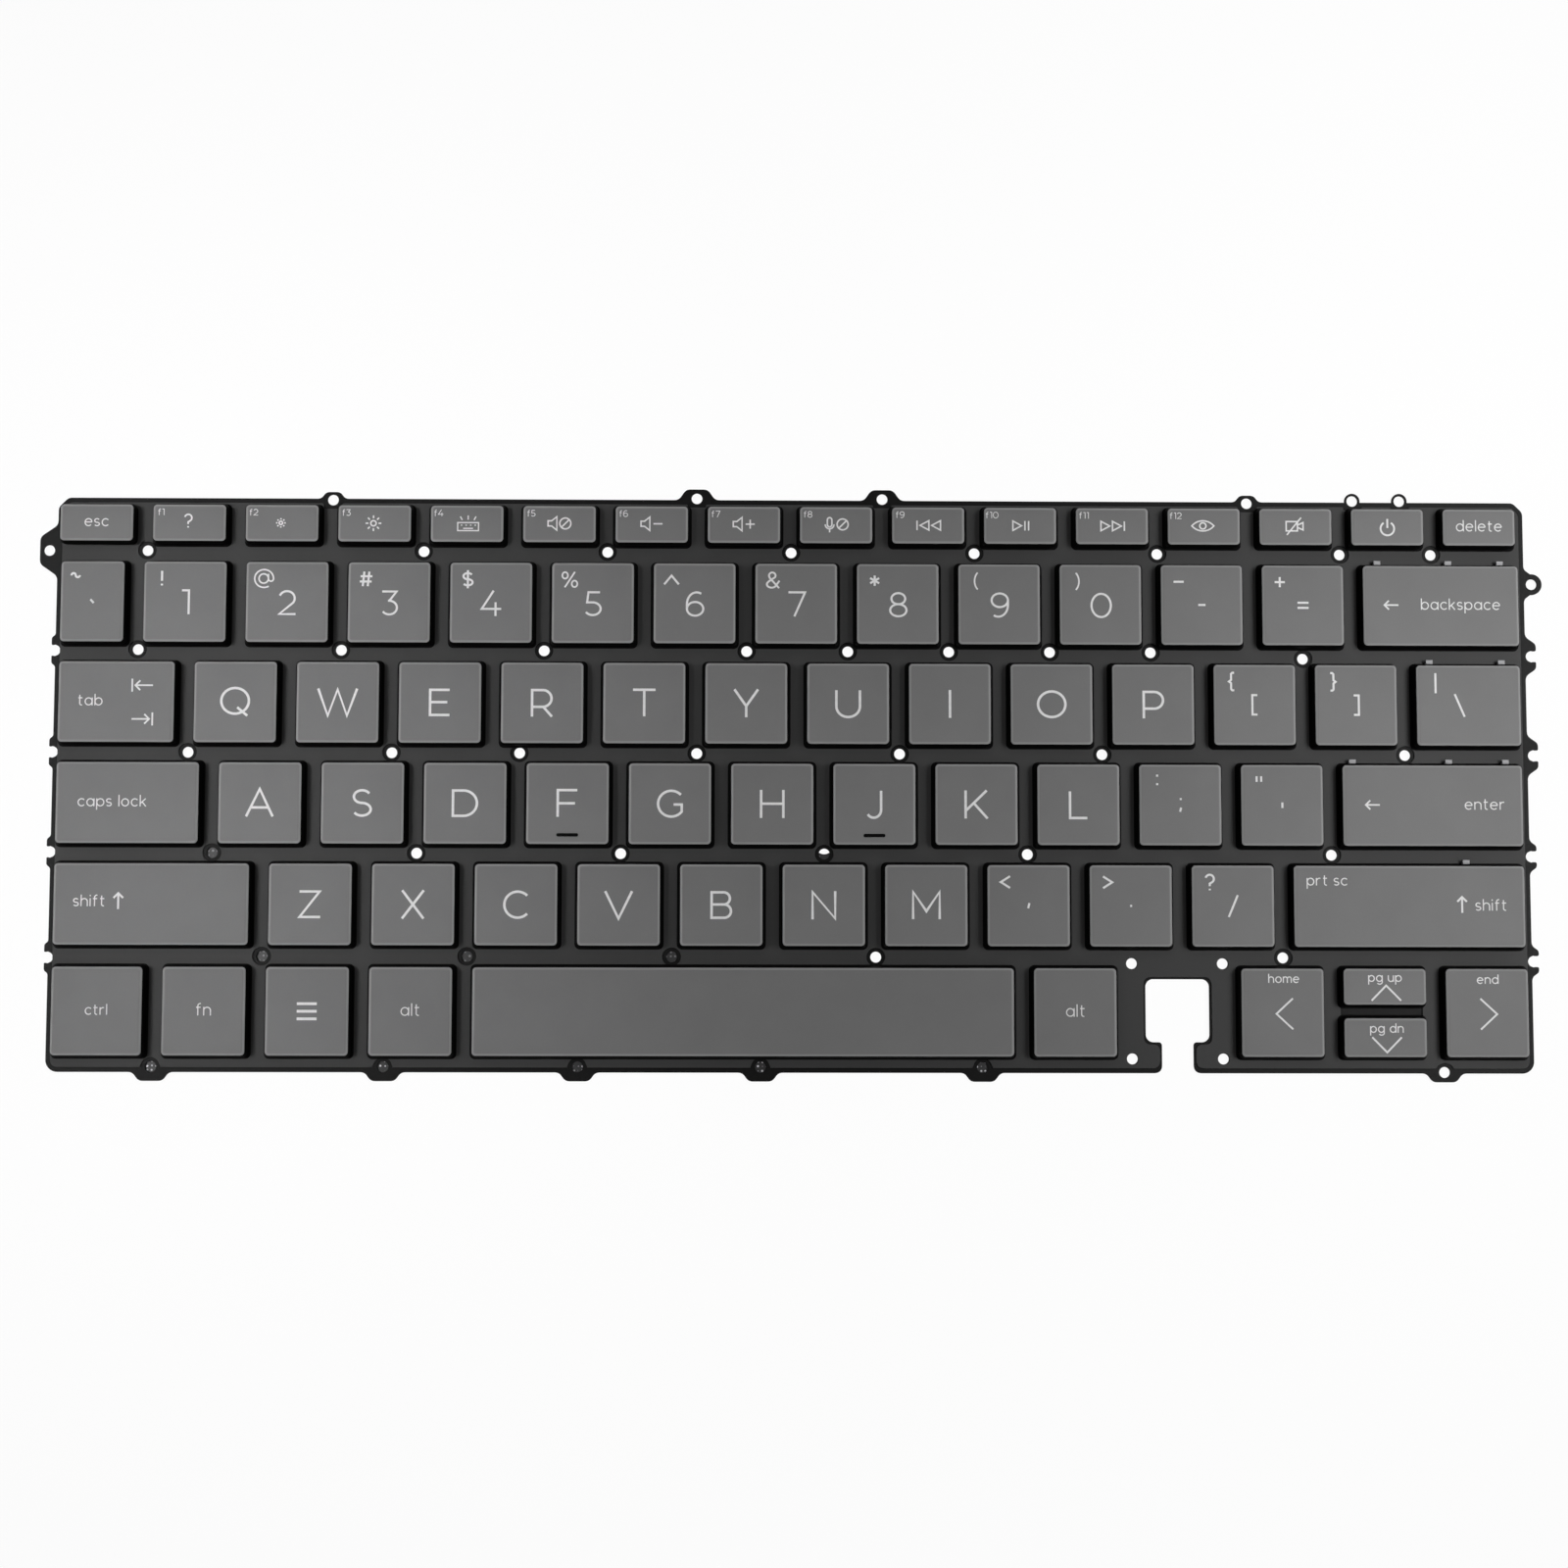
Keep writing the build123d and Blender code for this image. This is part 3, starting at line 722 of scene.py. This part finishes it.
SPEAKER = "0,34 22,34 54,8 54,92 22,66 0,66 0,34"
BAN = "; @106,50,34,34,0,360; 82,26 130,74"
SIGNS = {
    "left": "0,50 100,50; 32,82 0,50 32,18",
    "up": "36,0 36,100; 6,70 36,100 66,70",
    "back_tab": "0,96 0,4; 22,50 145,50; 56,84 22,50 56,16",
    "next_tab": "145,96 145,4; 0,50 123,50; 89,84 123,50 89,16",
    "west": "54,100 0,50 54,0",
    "east": "0,100 54,50 0,0",
    "north": "0,0 98,100 196,0",
    "south": "0,100 98,0 196,100",
    "lines": "0,88 100,88; 0,50 100,50; 0,12 100,12",
    "dim": "@50,50,12,12,0,360; " + "; ".join(
        f"{50 + 24 * cos(t):.1f},{50 + 24 * sin(t):.1f} {50 + 34 * cos(t):.1f},{50 + 34 * sin(t):.1f}"
        for t in (pi / 4 * i for i in range(8))
    ),
    "bright": "@50,50,17,17,0,360; " + "; ".join(
        f"{50 + 32 * cos(t):.1f},{50 + 32 * sin(t):.1f} {50 + 50 * cos(t):.1f},{50 + 50 * sin(t):.1f}"
        for t in (pi / 4 * i for i in range(8))
    ),
    "lit_keys": "6,4 134,4 134,54 6,54 6,4; 26,38 34,38; 54,38 62,38; 82,38 90,38; 110,38 118,38; "
    "40,18 100,18; 70,72 70,98; 34,70 22,92; 106,70 118,92",
    "mute": SPEAKER + BAN,
    "softer": SPEAKER + "; 76,50 132,50",
    "louder": SPEAKER + "; 76,50 132,50; 104,22 104,78",
    "mic_off": "@26,76,14,16,0,180 12,50 @26,50,14,16,180,360 40,76; @26,50,27,28,180,360; 26,22 26,0"
    + BAN,
    "previous": "0,8 0,92; 104,8 104,92 26,50 104,8; 206,8 206,92 128,50 206,8",
    "play": "0,8 0,92 76,50 0,8; 106,8 106,92; 138,8 138,92",
    "next": "206,8 206,92; 102,8 102,92 180,50 102,8; 0,8 0,92 78,50 0,8",
    "eye": "@70,-9.1,92,92,140,40 @70,109.1,92,92,-40,-140; @70,50,20,20,0,360",
    "lens_off": "4,20 76,20 76,80 4,80 4,20; 76,57 112,74 112,26 76,43; 8,-6 100,106",
    "power": "@50,44,42,42,122,418; 50,104 50,48",
}


# In the letters' own units: a space, the gap between letters and a small letter's middle;
# then an arc's step in degrees, and how near two points are taken as one
SPACE, LETTER_GAP, WORD_MIDDLE = 42, 24, 35
ARC_STEP, NEAR = 11, 0.5


def pen_points(path):
    """The points of one pen path, arcs drawn as short steps."""
    points = []
    for word in path.split():
        if word.startswith("@"):
            x, y, wide, high, start, end = map(float, word[1:].split(","))
            steps = max(3, ceil(abs(end - start) / ARC_STEP))
            turns = [radians(start + (end - start) * i / steps) for i in range(steps + 1)]
            points += [(x + wide * cos(t), y + high * sin(t)) for t in turns]
        else:
            points.append(tuple(map(float, word.split(","))))
    later = [p for q, p in zip(points, points[1:]) if hypot(p[0] - q[0], p[1] - q[1]) > NEAR]
    return [points[0], *later]


def pen_lines(form):
    """All pen lines of a letter form, and how wide it is."""
    lines = [pen_points(path) for path in form.split(";")]
    across = [p[0] for line in lines for p in line]
    return lines, min(across), max(across)


# Each mark on a cap: what is drawn, its middle from the cap's middle in millimetres, its height and its pen
Mark = namedtuple("Mark", "text x y height pen kind")


def letter(text):
    return Mark(text, 0, 0, None, 0.46, "letter")


def digit(text):
    return Mark(text, 0.1, -0.15, None, 0.39, "digit")


def sign(text, x=-4.25, y=4.3, height=2.7, pen=0.38):
    return Mark(text, x, y, height, pen, "letter")


def word(text, x=0.0, y=0.0, height=None, pen=0.2):
    return Mark(text, x, y, height, pen, "word")


def icon(text, x=0.0, y=0.0, height=2.4, pen=0.27):
    return Mark(text, x, y, height, pen, "icon")


def tagged(number, *marks):
    """A function key: its number small at the upper left, then its marks."""
    return [Mark(f"f{number}", -5.2, 1.8, 1.2, 0.13, "word"), *marks]


LEGENDS = {f"key_{c.lower()}": [letter(c)] for c in "ABCDEFGHIJKLMNOPQRSTUVWXYZ"}
UPPER_SIGNS = {
    "1": sign("!"), "2": sign("@", height=3.6, pen=0.28), "3": sign("#"), "4": sign("$", height=3.0),
    "5": sign("%", height=3.0, pen=0.3), "6": sign("^"), "7": sign("&", height=3.0, pen=0.34),
    "8": sign("*", height=3.2), "9": sign("(", height=3.1, pen=0.3), "0": sign(")", height=3.1, pen=0.3),
}
LEGENDS.update({f"key_{d}": [digit(d), upper] for d, upper in UPPER_SIGNS.items()})
LEGENDS.update(
    key_grave=[sign("`", 0, 0), sign("~", -3.1, 4.8)],
    key_minus=[sign("-", 0, 0, 3.0), sign("_")],
    key_equals=[sign("=", 0, 0, 3.4), sign("+")],
    key_left_bracket=[sign("[", 0, 0, 4.0), sign("{", height=3.0)],
    key_right_bracket=[sign("]", 0, 0, 4.0), sign("}", height=3.0)],
    key_backslash=[sign("\\", -1.7, 0, 4.2), sign("|", -6.1, 4.1, 3.0)],
    key_semicolon=[sign(";", 0, 0, 3.0), sign(":", y=4.6)],
    key_quote=[sign("'", 0, 0, 3.0), sign("\"", y=4.8)],
    key_comma=[sign(",", 0, 0, 3.4), sign("<", height=2.8)],
    key_period=[sign(".", 0, 0, 3.4), sign(">", height=2.8)],
    key_slash=[sign("/", 0, 0, 4.0), sign("?", height=2.9)],
    key_tab=[word("tab", -4.7), icon("back_tab", 4.8, 3.0, 2.6, 0.3), icon("next_tab", 4.8, -3.2, 2.6, 0.3)],
    key_caps_lock=[word("caps lock", -2.7)],
    key_left_shift=[word("shift", -11.2, 0.3), icon("up", -5.9, 0.5, 2.9, 0.36)],
    key_right_shift=[
        word("prt sc", -15.1, 4.5, 2.0), icon("up", 9.6, 0.3, 2.9, 0.36), word("shift", 14.9, 0.0)
    ],
    key_enter=[icon("left", -11.1, 0.1, 2.6, 0.3), word("enter", 9.5)],
    key_backspace=[icon("left", -9.2, 0.1, 2.6, 0.3), word("backspace", 3.6)],
    control=[word("ctrl", height=1.95)],
    fn=[word("fn", height=2.25)],
    menu=[icon("lines", 0, 0, 3.6, 0.5)],
    left_alt=[word("alt", height=2.25)],
    right_alt=[word("alt", height=2.25)],
    left_arrow=[word("home", 0.2, 6.0, 1.65, 0.2), icon("west", 0.3, -0.2, 5.6, 0.34)],
    up_arrow=[word("pg up", 0, 1.5, 1.7, 0.2), icon("north", 0.2, -1.15, 2.75, 0.34)],
    down_arrow=[word("pg dn", 0.2, 1.5, 1.7, 0.2), icon("south", 0.2, -1.3, 2.75, 0.34)],
    right_arrow=[word("end", 0.1, 5.9, 1.7, 0.2), icon("east", 0.2, -0.2, 5.6, 0.34)],
    function_0=[word("esc")],
    function_1=tagged(1, sign("?", -0.2, 0.3, 2.5, 0.3)),
    function_2=tagged(2, icon("dim", -0.2, 0.0, 2.6)),
    function_3=tagged(3, icon("bright", -0.2, 0.0, 2.9)),
    function_4=tagged(4, icon("lit_keys", 0.2, 0.1, 3.0, 0.22)),
    function_5=tagged(5, icon("mute", 0.0, 0.1, 3.0)),
    function_6=tagged(6, icon("softer", 0.0, 0.1, 3.0)),
    function_7=tagged(7, icon("louder", 0.0, 0.1, 3.0)),
    function_8=tagged(8, icon("mic_off", 0.1, 0.0, 3.0)),
    function_9=tagged(9, icon("previous", 0.1, 0.0, 2.1)),
    function_10=tagged(10, icon("play", 0.1, 0.0, 2.1)),
    function_11=tagged(11, icon("next", 0.1, 0.0, 2.1)),
    function_12=tagged(12, icon("eye", -0.2, 0.1, 2.9)),
    function_13=[icon("lens_off", -0.2, 0.1, 2.9)],
    function_14=[icon("power", 0.0, 0.0, 3.0, 0.34)],
    function_15=[word("delete")],
)


def draw_line(shell, points, pen, low, high):
    """One pen line as a thin flat bar."""
    closed = hypot(points[0][0] - points[-1][0], points[0][1] - points[-1][1]) < pen / 4
    if closed:
        points = points[:-1]
    left, right = beside(points, pen / 2, closed), beside(points, -pen / 2, closed)
    edges = ((right, low), (right, high), (left, high), (left, low))
    made = [shell.ring([(x, y, z) for x, y in side]) for side, z in edges]
    for first, second in zip(made, made[1:] + made[:1]):
        shell.band(first, second, closed=closed)
    if not closed:
        shell.face([ring[0] for ring in made])
        shell.face([ring[-1] for ring in reversed(made)])


def mark_lines(mark, sizes):
    """A mark's pen lines in metres about the cap's middle."""
    heights = {"letter": sizes.letter_height, "digit": sizes.digit_height, "word": sizes.word_height}
    scale = (mark.height * MM if mark.height else heights[mark.kind]) / 100
    lines, at = [], 0.0
    for form in [SIGNS[mark.text]] if mark.kind == "icon" else [LETTERS.get(c) for c in mark.text]:
        if form is None:
            at += SPACE
            continue
        drawn, start, end = pen_lines(form)
        lines += [[(x - start + at, y) for x, y in line] for line in drawn]
        at += end - start + (LETTER_GAP if mark.kind == "word" else 0)
    across, up = zip(*(p for line in lines for p in line))
    middle_x = (min(across) + max(across)) / 2
    middle_y = WORD_MIDDLE if mark.kind == "word" else (min(up) + max(up)) / 2
    return [
        [(mark.x * MM + (x - middle_x) * scale, mark.y * MM + (y - middle_y) * scale) for x, y in line]
        for line in lines
    ]


class KEYBOARD_OT_base_plate(bpy.types.Operator):
    """Make the stamped base plate"""

    bl_idname = "keyboard.base_plate"
    bl_label = "Base plate"

    def execute(self, context):
        stamped_sheet("plate_sheet", "base_plate", "plate")
        return {"FINISHED"}


class KEYBOARD_OT_films(bpy.types.Operator):
    """Make the switch membrane, the light guide and the painted shadow round the caps"""

    bl_idname = "keyboard.films"
    bl_label = "Films"

    def execute(self, context):
        stamped_sheet("membrane_sheet", "switch_membrane", "film")
        stamped_sheet("guide_sheet", "light_guide", "guide")
        self.shadow_pads(context.scene.keyboard_sizes)
        return {"FINISHED"}

    def shadow_pads(self, sizes):
        """Painted shadow: black print on the membrane under each cap, wider than the cap by a thin rim, that
        darkens the film round each cap's foot.
        """
        low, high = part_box("switch_membrane")
        corner, levels = 1.0 * MM, (FLOOR_Z, FLOOR_Z + sizes.print_depth)
        shell = Shell("skirt")
        for key in KEYS.values():
            room = min(key.x - key.width / 2 - low.x, high.x - key.x - key.width / 2)
            grow = min(CAP_SPREAD + sizes.shadow_rim, room)
            made = shell.stack([corner_ring(key, grow, corner, z) for z in levels], [0])
            shell.face(made[1])
        return shell.piece("membrane_print", "base")


class KEYBOARD_OT_caps(bpy.types.Operator):
    """Make the key caps"""

    bl_idname = "keyboard.caps"
    bl_label = "Key caps"

    def execute(self, context):
        for key in KEYS.values():
            shell = cap_shell(key)
            if key.name in ("key_f", "key_j"):
                home_bar(shell, key)
            cap = shell.piece("cap_" + key.name.removeprefix("key_"), key.body)
            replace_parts(cap, "fixed_keys" if key.body == "base" else key.name)
        return {"FINISHED"}


class KEYBOARD_OT_legends(bpy.types.Operator):
    """Print the legends on the caps"""

    bl_idname = "keyboard.legends"
    bl_label = "Legends"

    def execute(self, context):
        """Each line of a mark is a little lower than the one before, so that no two tops coincide."""
        sizes = context.scene.keyboard_sizes
        levels = 5
        face_z, step = TOP_Z - sizes.print_depth, sizes.print_depth / 8
        for name, marks in LEGENDS.items():
            key = KEYS[name]
            shell = Shell("ink")
            for mark in marks:
                for i, line in enumerate(mark_lines(mark, sizes)):
                    high = TOP_Z - i % levels * step
                    points = [(key.x + x, key.y + y) for x, y in line]
                    draw_line(shell, points, mark.pen * MM, face_z - sizes.print_depth, high)
            shell.piece("legend_" + name.removeprefix("key_"), key.body)
        return {"FINISHED"}


def squashed(piece):
    """Gives a piece its own copy of its mesh."""
    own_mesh(piece)


# A dome from its foot up: radius in millimetres, and height as a share of its rise
DOME_PROFILE = (
    (2.5, 0.0), (2.5, 0.05), (2.42, 0.08), (2.2, 0.1), (2.08, 0.16), (1.95, 0.4),
    (1.7, 0.66), (1.52, 0.8), (1.32, 0.86), (1.3, 0.95), (1.22, 1.0), (0.5, 1.0),
)
DOME_STEPS = 28


class KEYBOARD_OT_domes(bpy.types.Operator):
    """Make the rubber domes"""

    bl_idname = "keyboard.domes"
    bl_label = "Rubber domes"

    def dome(self, shell, key):
        rise = ROOF_Z - FLOOR_Z - ROOF_ROOM
        rings = [
            [(x, y, FLOOR_Z + z * rise) for x, y in round_points(key.x, key.y, r * MM, DOME_STEPS)]
            for r, z in DOME_PROFILE
        ]
        shell.solid(rings, [0] * (len(rings) - 1))

    def execute(self, context):
        for key in MOVING:
            shell = Shell("rubber")
            self.dome(shell, key)
            dome = shell.piece("dome_" + key.name.removeprefix("key_"), "base")
            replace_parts(dome, "rubber_domes")
            squashed(dome)
        shell = Shell("rubber")
        for key in FIXED:
            self.dome(shell, key)
        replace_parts(shell.piece("domes_fixed", "base"), "fixed_keys")
        return {"FINISHED"}


# An arm's run, foot, half width, broken edge and place beside the key's middle
ARM_RUN, ARM_FOOT, ARM_HALF, ARM_EDGE, ARM_SIDE = 9.0 * MM, 2.2 * MM, 0.9 * MM, 0.12 * MM, 4.0 * MM

# An arm from its foot up: share of its rise, and edges that it grows by, most at the pivot
ARM_RINGS = (
    (0.0, -0.5), (0.03, 0.0), (0.47, 0.0), (0.49, 0.6), (0.51, 0.6), (0.53, 0.0), (0.97, 0.0), (1.0, -0.5)
)


class KEYBOARD_OT_scissors(bpy.types.Operator):
    """Make the scissor arms"""

    bl_idname = "keyboard.scissors"
    bl_label = "Scissor arms"

    def arm(self, shell, key, side):
        """One sloping arm with broken edges, from the membrane up to the cap's roof."""
        rise, edge = ROOF_Z - FLOOR_Z - ROOF_ROOM, ARM_EDGE
        middle_x = key.x + side * ARM_SIDE
        rings = []
        for share, grow in ARM_RINGS:
            middle_y = key.y + side * ARM_RUN * (share - 0.5)
            wide, deep = ARM_HALF + grow * edge, ARM_FOOT / 2 + grow * edge
            outline = (
                (wide, deep - edge), (wide - edge, deep), (edge - wide, deep), (-wide, deep - edge),
                (-wide, edge - deep), (edge - wide, -deep), (wide - edge, -deep), (wide, edge - deep),
            )
            rings.append([(middle_x + x, middle_y + y, FLOOR_Z + share * rise) for x, y in outline])
        shell.solid(rings, [0] * (len(rings) - 1))

    def execute(self, context):
        for key in MOVING:
            shell = Shell("arm")
            for side in (-1, 1):
                self.arm(shell, key, side)
            arms = shell.piece("scissor_" + key.name.removeprefix("key_"), "base")
            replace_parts(arms, "scissor_arms")
            squashed(arms)
        return {"FINISHED"}


class KEYBOARD_OT_stabilisers(bpy.types.Operator):
    """Make the stabiliser bars under the wide caps"""

    bl_idname = "keyboard.stabilisers"
    bl_label = "Stabilisers"

    def execute(self, context):
        wide_cap, inset, set_back, edge = 20 * MM, 4.0 * MM, 1.2 * MM, 0.1 * MM
        radius, steps = 0.3 * MM, 12
        tip = 0.7 * radius
        for key in MOVING:
            if key.width < wide_cap:
                continue
            y, z = key.y + key.depth / 2 - set_back, ROOF_Z - radius
            half = key.width / 2 - inset
            shell = Shell("steel")
            stations = ((-half, tip), (edge - half, radius), (half - edge, radius), (half, tip))
            rings = [[(key.x + x, *p) for p in round_points(y, z, r, steps)] for x, r in stations]
            shell.solid(rings, [0] * 3)
            shell.piece("stabiliser_" + key.name.removeprefix("key_"), key.body)
        return {"FINISHED"}


# A hook from the side, in millimetres behind the cap and above the membrane
HOOK_PROFILE = (
    (0.06, 0.0), (0.4, 0.0), (0.4, 0.85), (0.75, 0.9), (0.85, 0.96), (0.85, 1.14), (0.78, 1.2),
    (0.25, 1.2), (0.12, 1.14), (0.06, 1.0),
)


class KEYBOARD_OT_hooks(bpy.types.Operator):
    """Make the stabiliser hooks that show behind the wide caps at the right"""

    bl_idname = "keyboard.hooks"
    bl_label = "Stabiliser hooks"

    def execute(self, context):
        half = 0.6 * MM
        shell = Shell("arm")
        for name, places in HOOKS.items():
            key = KEYS[name]
            back = key.y + key.depth / 2 + CAP_SPREAD
            for place in places:
                middle = key.x + place * MM
                rings = [
                    [(middle + side * half, back + y * MM, FLOOR_Z + z * MM) for y, z in HOOK_PROFILE]
                    for side in (-1, 1)
                ]
                shell.solid(rings, [0])
        shell.piece("stabiliser_hooks", "base")
        return {"FINISHED"}


# Each lamp's place, the point it faces and its size in metres, its power in watts, its spread in degrees
LAMPS = {
    "left_lamp": ((-0.3, 0.013, 0.4), (-0.109, 0.013, 0), (0.215, 0.15), 0.089, 28),
    "right_lamp": ((0.3, 0.037, 0.4), (0.124, 0.037, 0), (0.27, 0.15), 0.161, 44),
    "front_lamp": ((0, -0.5, 0.7), (0, 0, 0), (0.8, 0.2), 0.75, 180),
    "back_lamp": ((0, 0.5, 0.7), (0, 0, 0), (0.8, 0.2), 0.6, 180),
}
SKY_STRENGTH = 0.1

# The camera's place and lens in millimetres, and its turn in degrees
CAMERA_PLACE = (-8.35, -43.78, 504.1)
CAMERA_TURN = (4.949, -0.759, 0.149)
LENS, SENSOR = 62.99, 36.0


class KEYBOARD_OT_stage(bpy.types.Operator):
    """Make the floor, the lights and the camera"""

    bl_idname = "keyboard.stage"
    bl_label = "Stage"

    def floor(self, scene):
        """A paper floor that turns up into a low wall on all sides."""
        mesh = bpy.data.meshes.new("floor")
        reach, z, wall = 4.0, -0.2 * MM, 1.6
        square = ((-reach, -reach), (reach, -reach), (reach, reach), (-reach, reach))
        walls = [(i, i + 4, (i + 1) % 4 + 4, (i + 1) % 4) for i in range(4)]
        points = [(x, y, level) for level in (z, wall) for x, y in square]
        mesh.from_pydata(points, [], [(0, 1, 2, 3), *walls])
        made = bpy.data.objects.new("floor", mesh)
        scene.collection.objects.link(made)
        mesh.materials.append(self.floor_paper())

    def floor_paper(self):
        """Paper that is seen nearly white and keeps a share of the shadow on it."""
        white_share = 0.95
        paper = Finish("floor_paper", Base_Color=(0.9, 0.9, 0.9, 1), Roughness=0.9, Specular_IOR_Level=0.1)
        kinds = ("Camera", "Glossy", "Transmission")
        camera, glossy, through = (paper.node("ShaderNodeLightPath", out=f"Is {kind} Ray") for kind in kinds)
        seen = paper.node("ShaderNodeMath", {"operation": "MINIMUM"}, {0: camera + glossy + through, 1: 1.0})
        share = seen * white_share
        glow = paper.node("ShaderNodeEmission", None, {"Color": (1, 1, 1, 1), "Strength": 1.0})
        lit = Value(paper, paper.surface.outputs[0])
        mixed = paper.node("ShaderNodeMixShader", None, {0: share, 1: lit, 2: glow})
        paper.plug(paper.tree.nodes["Material Output"].inputs["Surface"], mixed)
        return paper.material

    def lamp(self, scene, name, place, aim, size, power, spread):
        data = bpy.data.lights.new(name, "AREA")
        data.shape, data.size, data.size_y, data.energy = "RECTANGLE", *size, power
        data.spread = radians(spread)
        made = bpy.data.objects.new(name, data)
        made.location = place
        made.rotation_euler = (Vector(aim) - Vector(place)).to_track_quat("-Z", "Y").to_euler()
        made.visible_camera = False
        scene.collection.objects.link(made)

    def camera(self, scene):
        data = bpy.data.cameras.new("camera")
        data.lens, data.sensor_width = LENS, SENSOR
        made = bpy.data.objects.new("camera", data)
        made.location = [c * MM for c in CAMERA_PLACE]
        made.rotation_mode = "ZYX"
        made.rotation_euler = Euler([radians(turn) for turn in CAMERA_TURN], "ZYX")
        scene.collection.objects.link(made)
        scene.camera = made

    def execute(self, context):
        scene = context.scene
        scene.view_settings.view_transform = "Standard"
        world = bpy.data.worlds.new("studio")
        world.use_nodes = True
        sky = world.node_tree.nodes["Background"]
        sky.inputs["Color"].default_value = (1, 1, 1, 1)
        sky.inputs["Strength"].default_value = SKY_STRENGTH
        scene.world = world
        self.floor(scene)
        for name, settings in LAMPS.items():
            self.lamp(scene, name, *settings)
        self.camera(scene)
        return {"FINISHED"}


OPERATORS = (
    KEYBOARD_OT_base_plate,
    KEYBOARD_OT_films,
    KEYBOARD_OT_domes,
    KEYBOARD_OT_scissors,
    KEYBOARD_OT_caps,
    KEYBOARD_OT_stabilisers,
    KEYBOARD_OT_hooks,
    KEYBOARD_OT_legends,
    KEYBOARD_OT_stage,
)


class KEYBOARD_PT_panel(bpy.types.Panel):
    """Lists the keyboard's pieces, sizes and colours"""

    bl_idname = "KEYBOARD_PT_panel"
    bl_label = "Keyboard"
    bl_space_type = "VIEW_3D"
    bl_region_type = "UI"
    bl_category = "Keyboard"

    def draw(self, context):
        for group in (context.scene.keyboard_sizes, context.scene.keyboard_colours):
            for name in group.__annotations__:
                self.layout.prop(group, name)
        for operator in OPERATORS:
            self.layout.operator(operator.bl_idname)


CLASSES = (KeyboardSizes, KeyboardColours, *OPERATORS, KEYBOARD_PT_panel)


def register():
    for kind in CLASSES:
        bpy.utils.register_class(kind)
    bpy.types.Scene.keyboard_sizes = bpy.props.PointerProperty(type=KeyboardSizes)
    bpy.types.Scene.keyboard_colours = bpy.props.PointerProperty(type=KeyboardColours)


def unregister():
    del bpy.types.Scene.keyboard_colours
    del bpy.types.Scene.keyboard_sizes
    for kind in reversed(CLASSES):
        bpy.utils.unregister_class(kind)


def main():
    register()
    for operator in OPERATORS:
        group, name = operator.bl_idname.split(".")
        getattr(getattr(bpy.ops, group), name)()


if __name__ == "__main__":
    main()
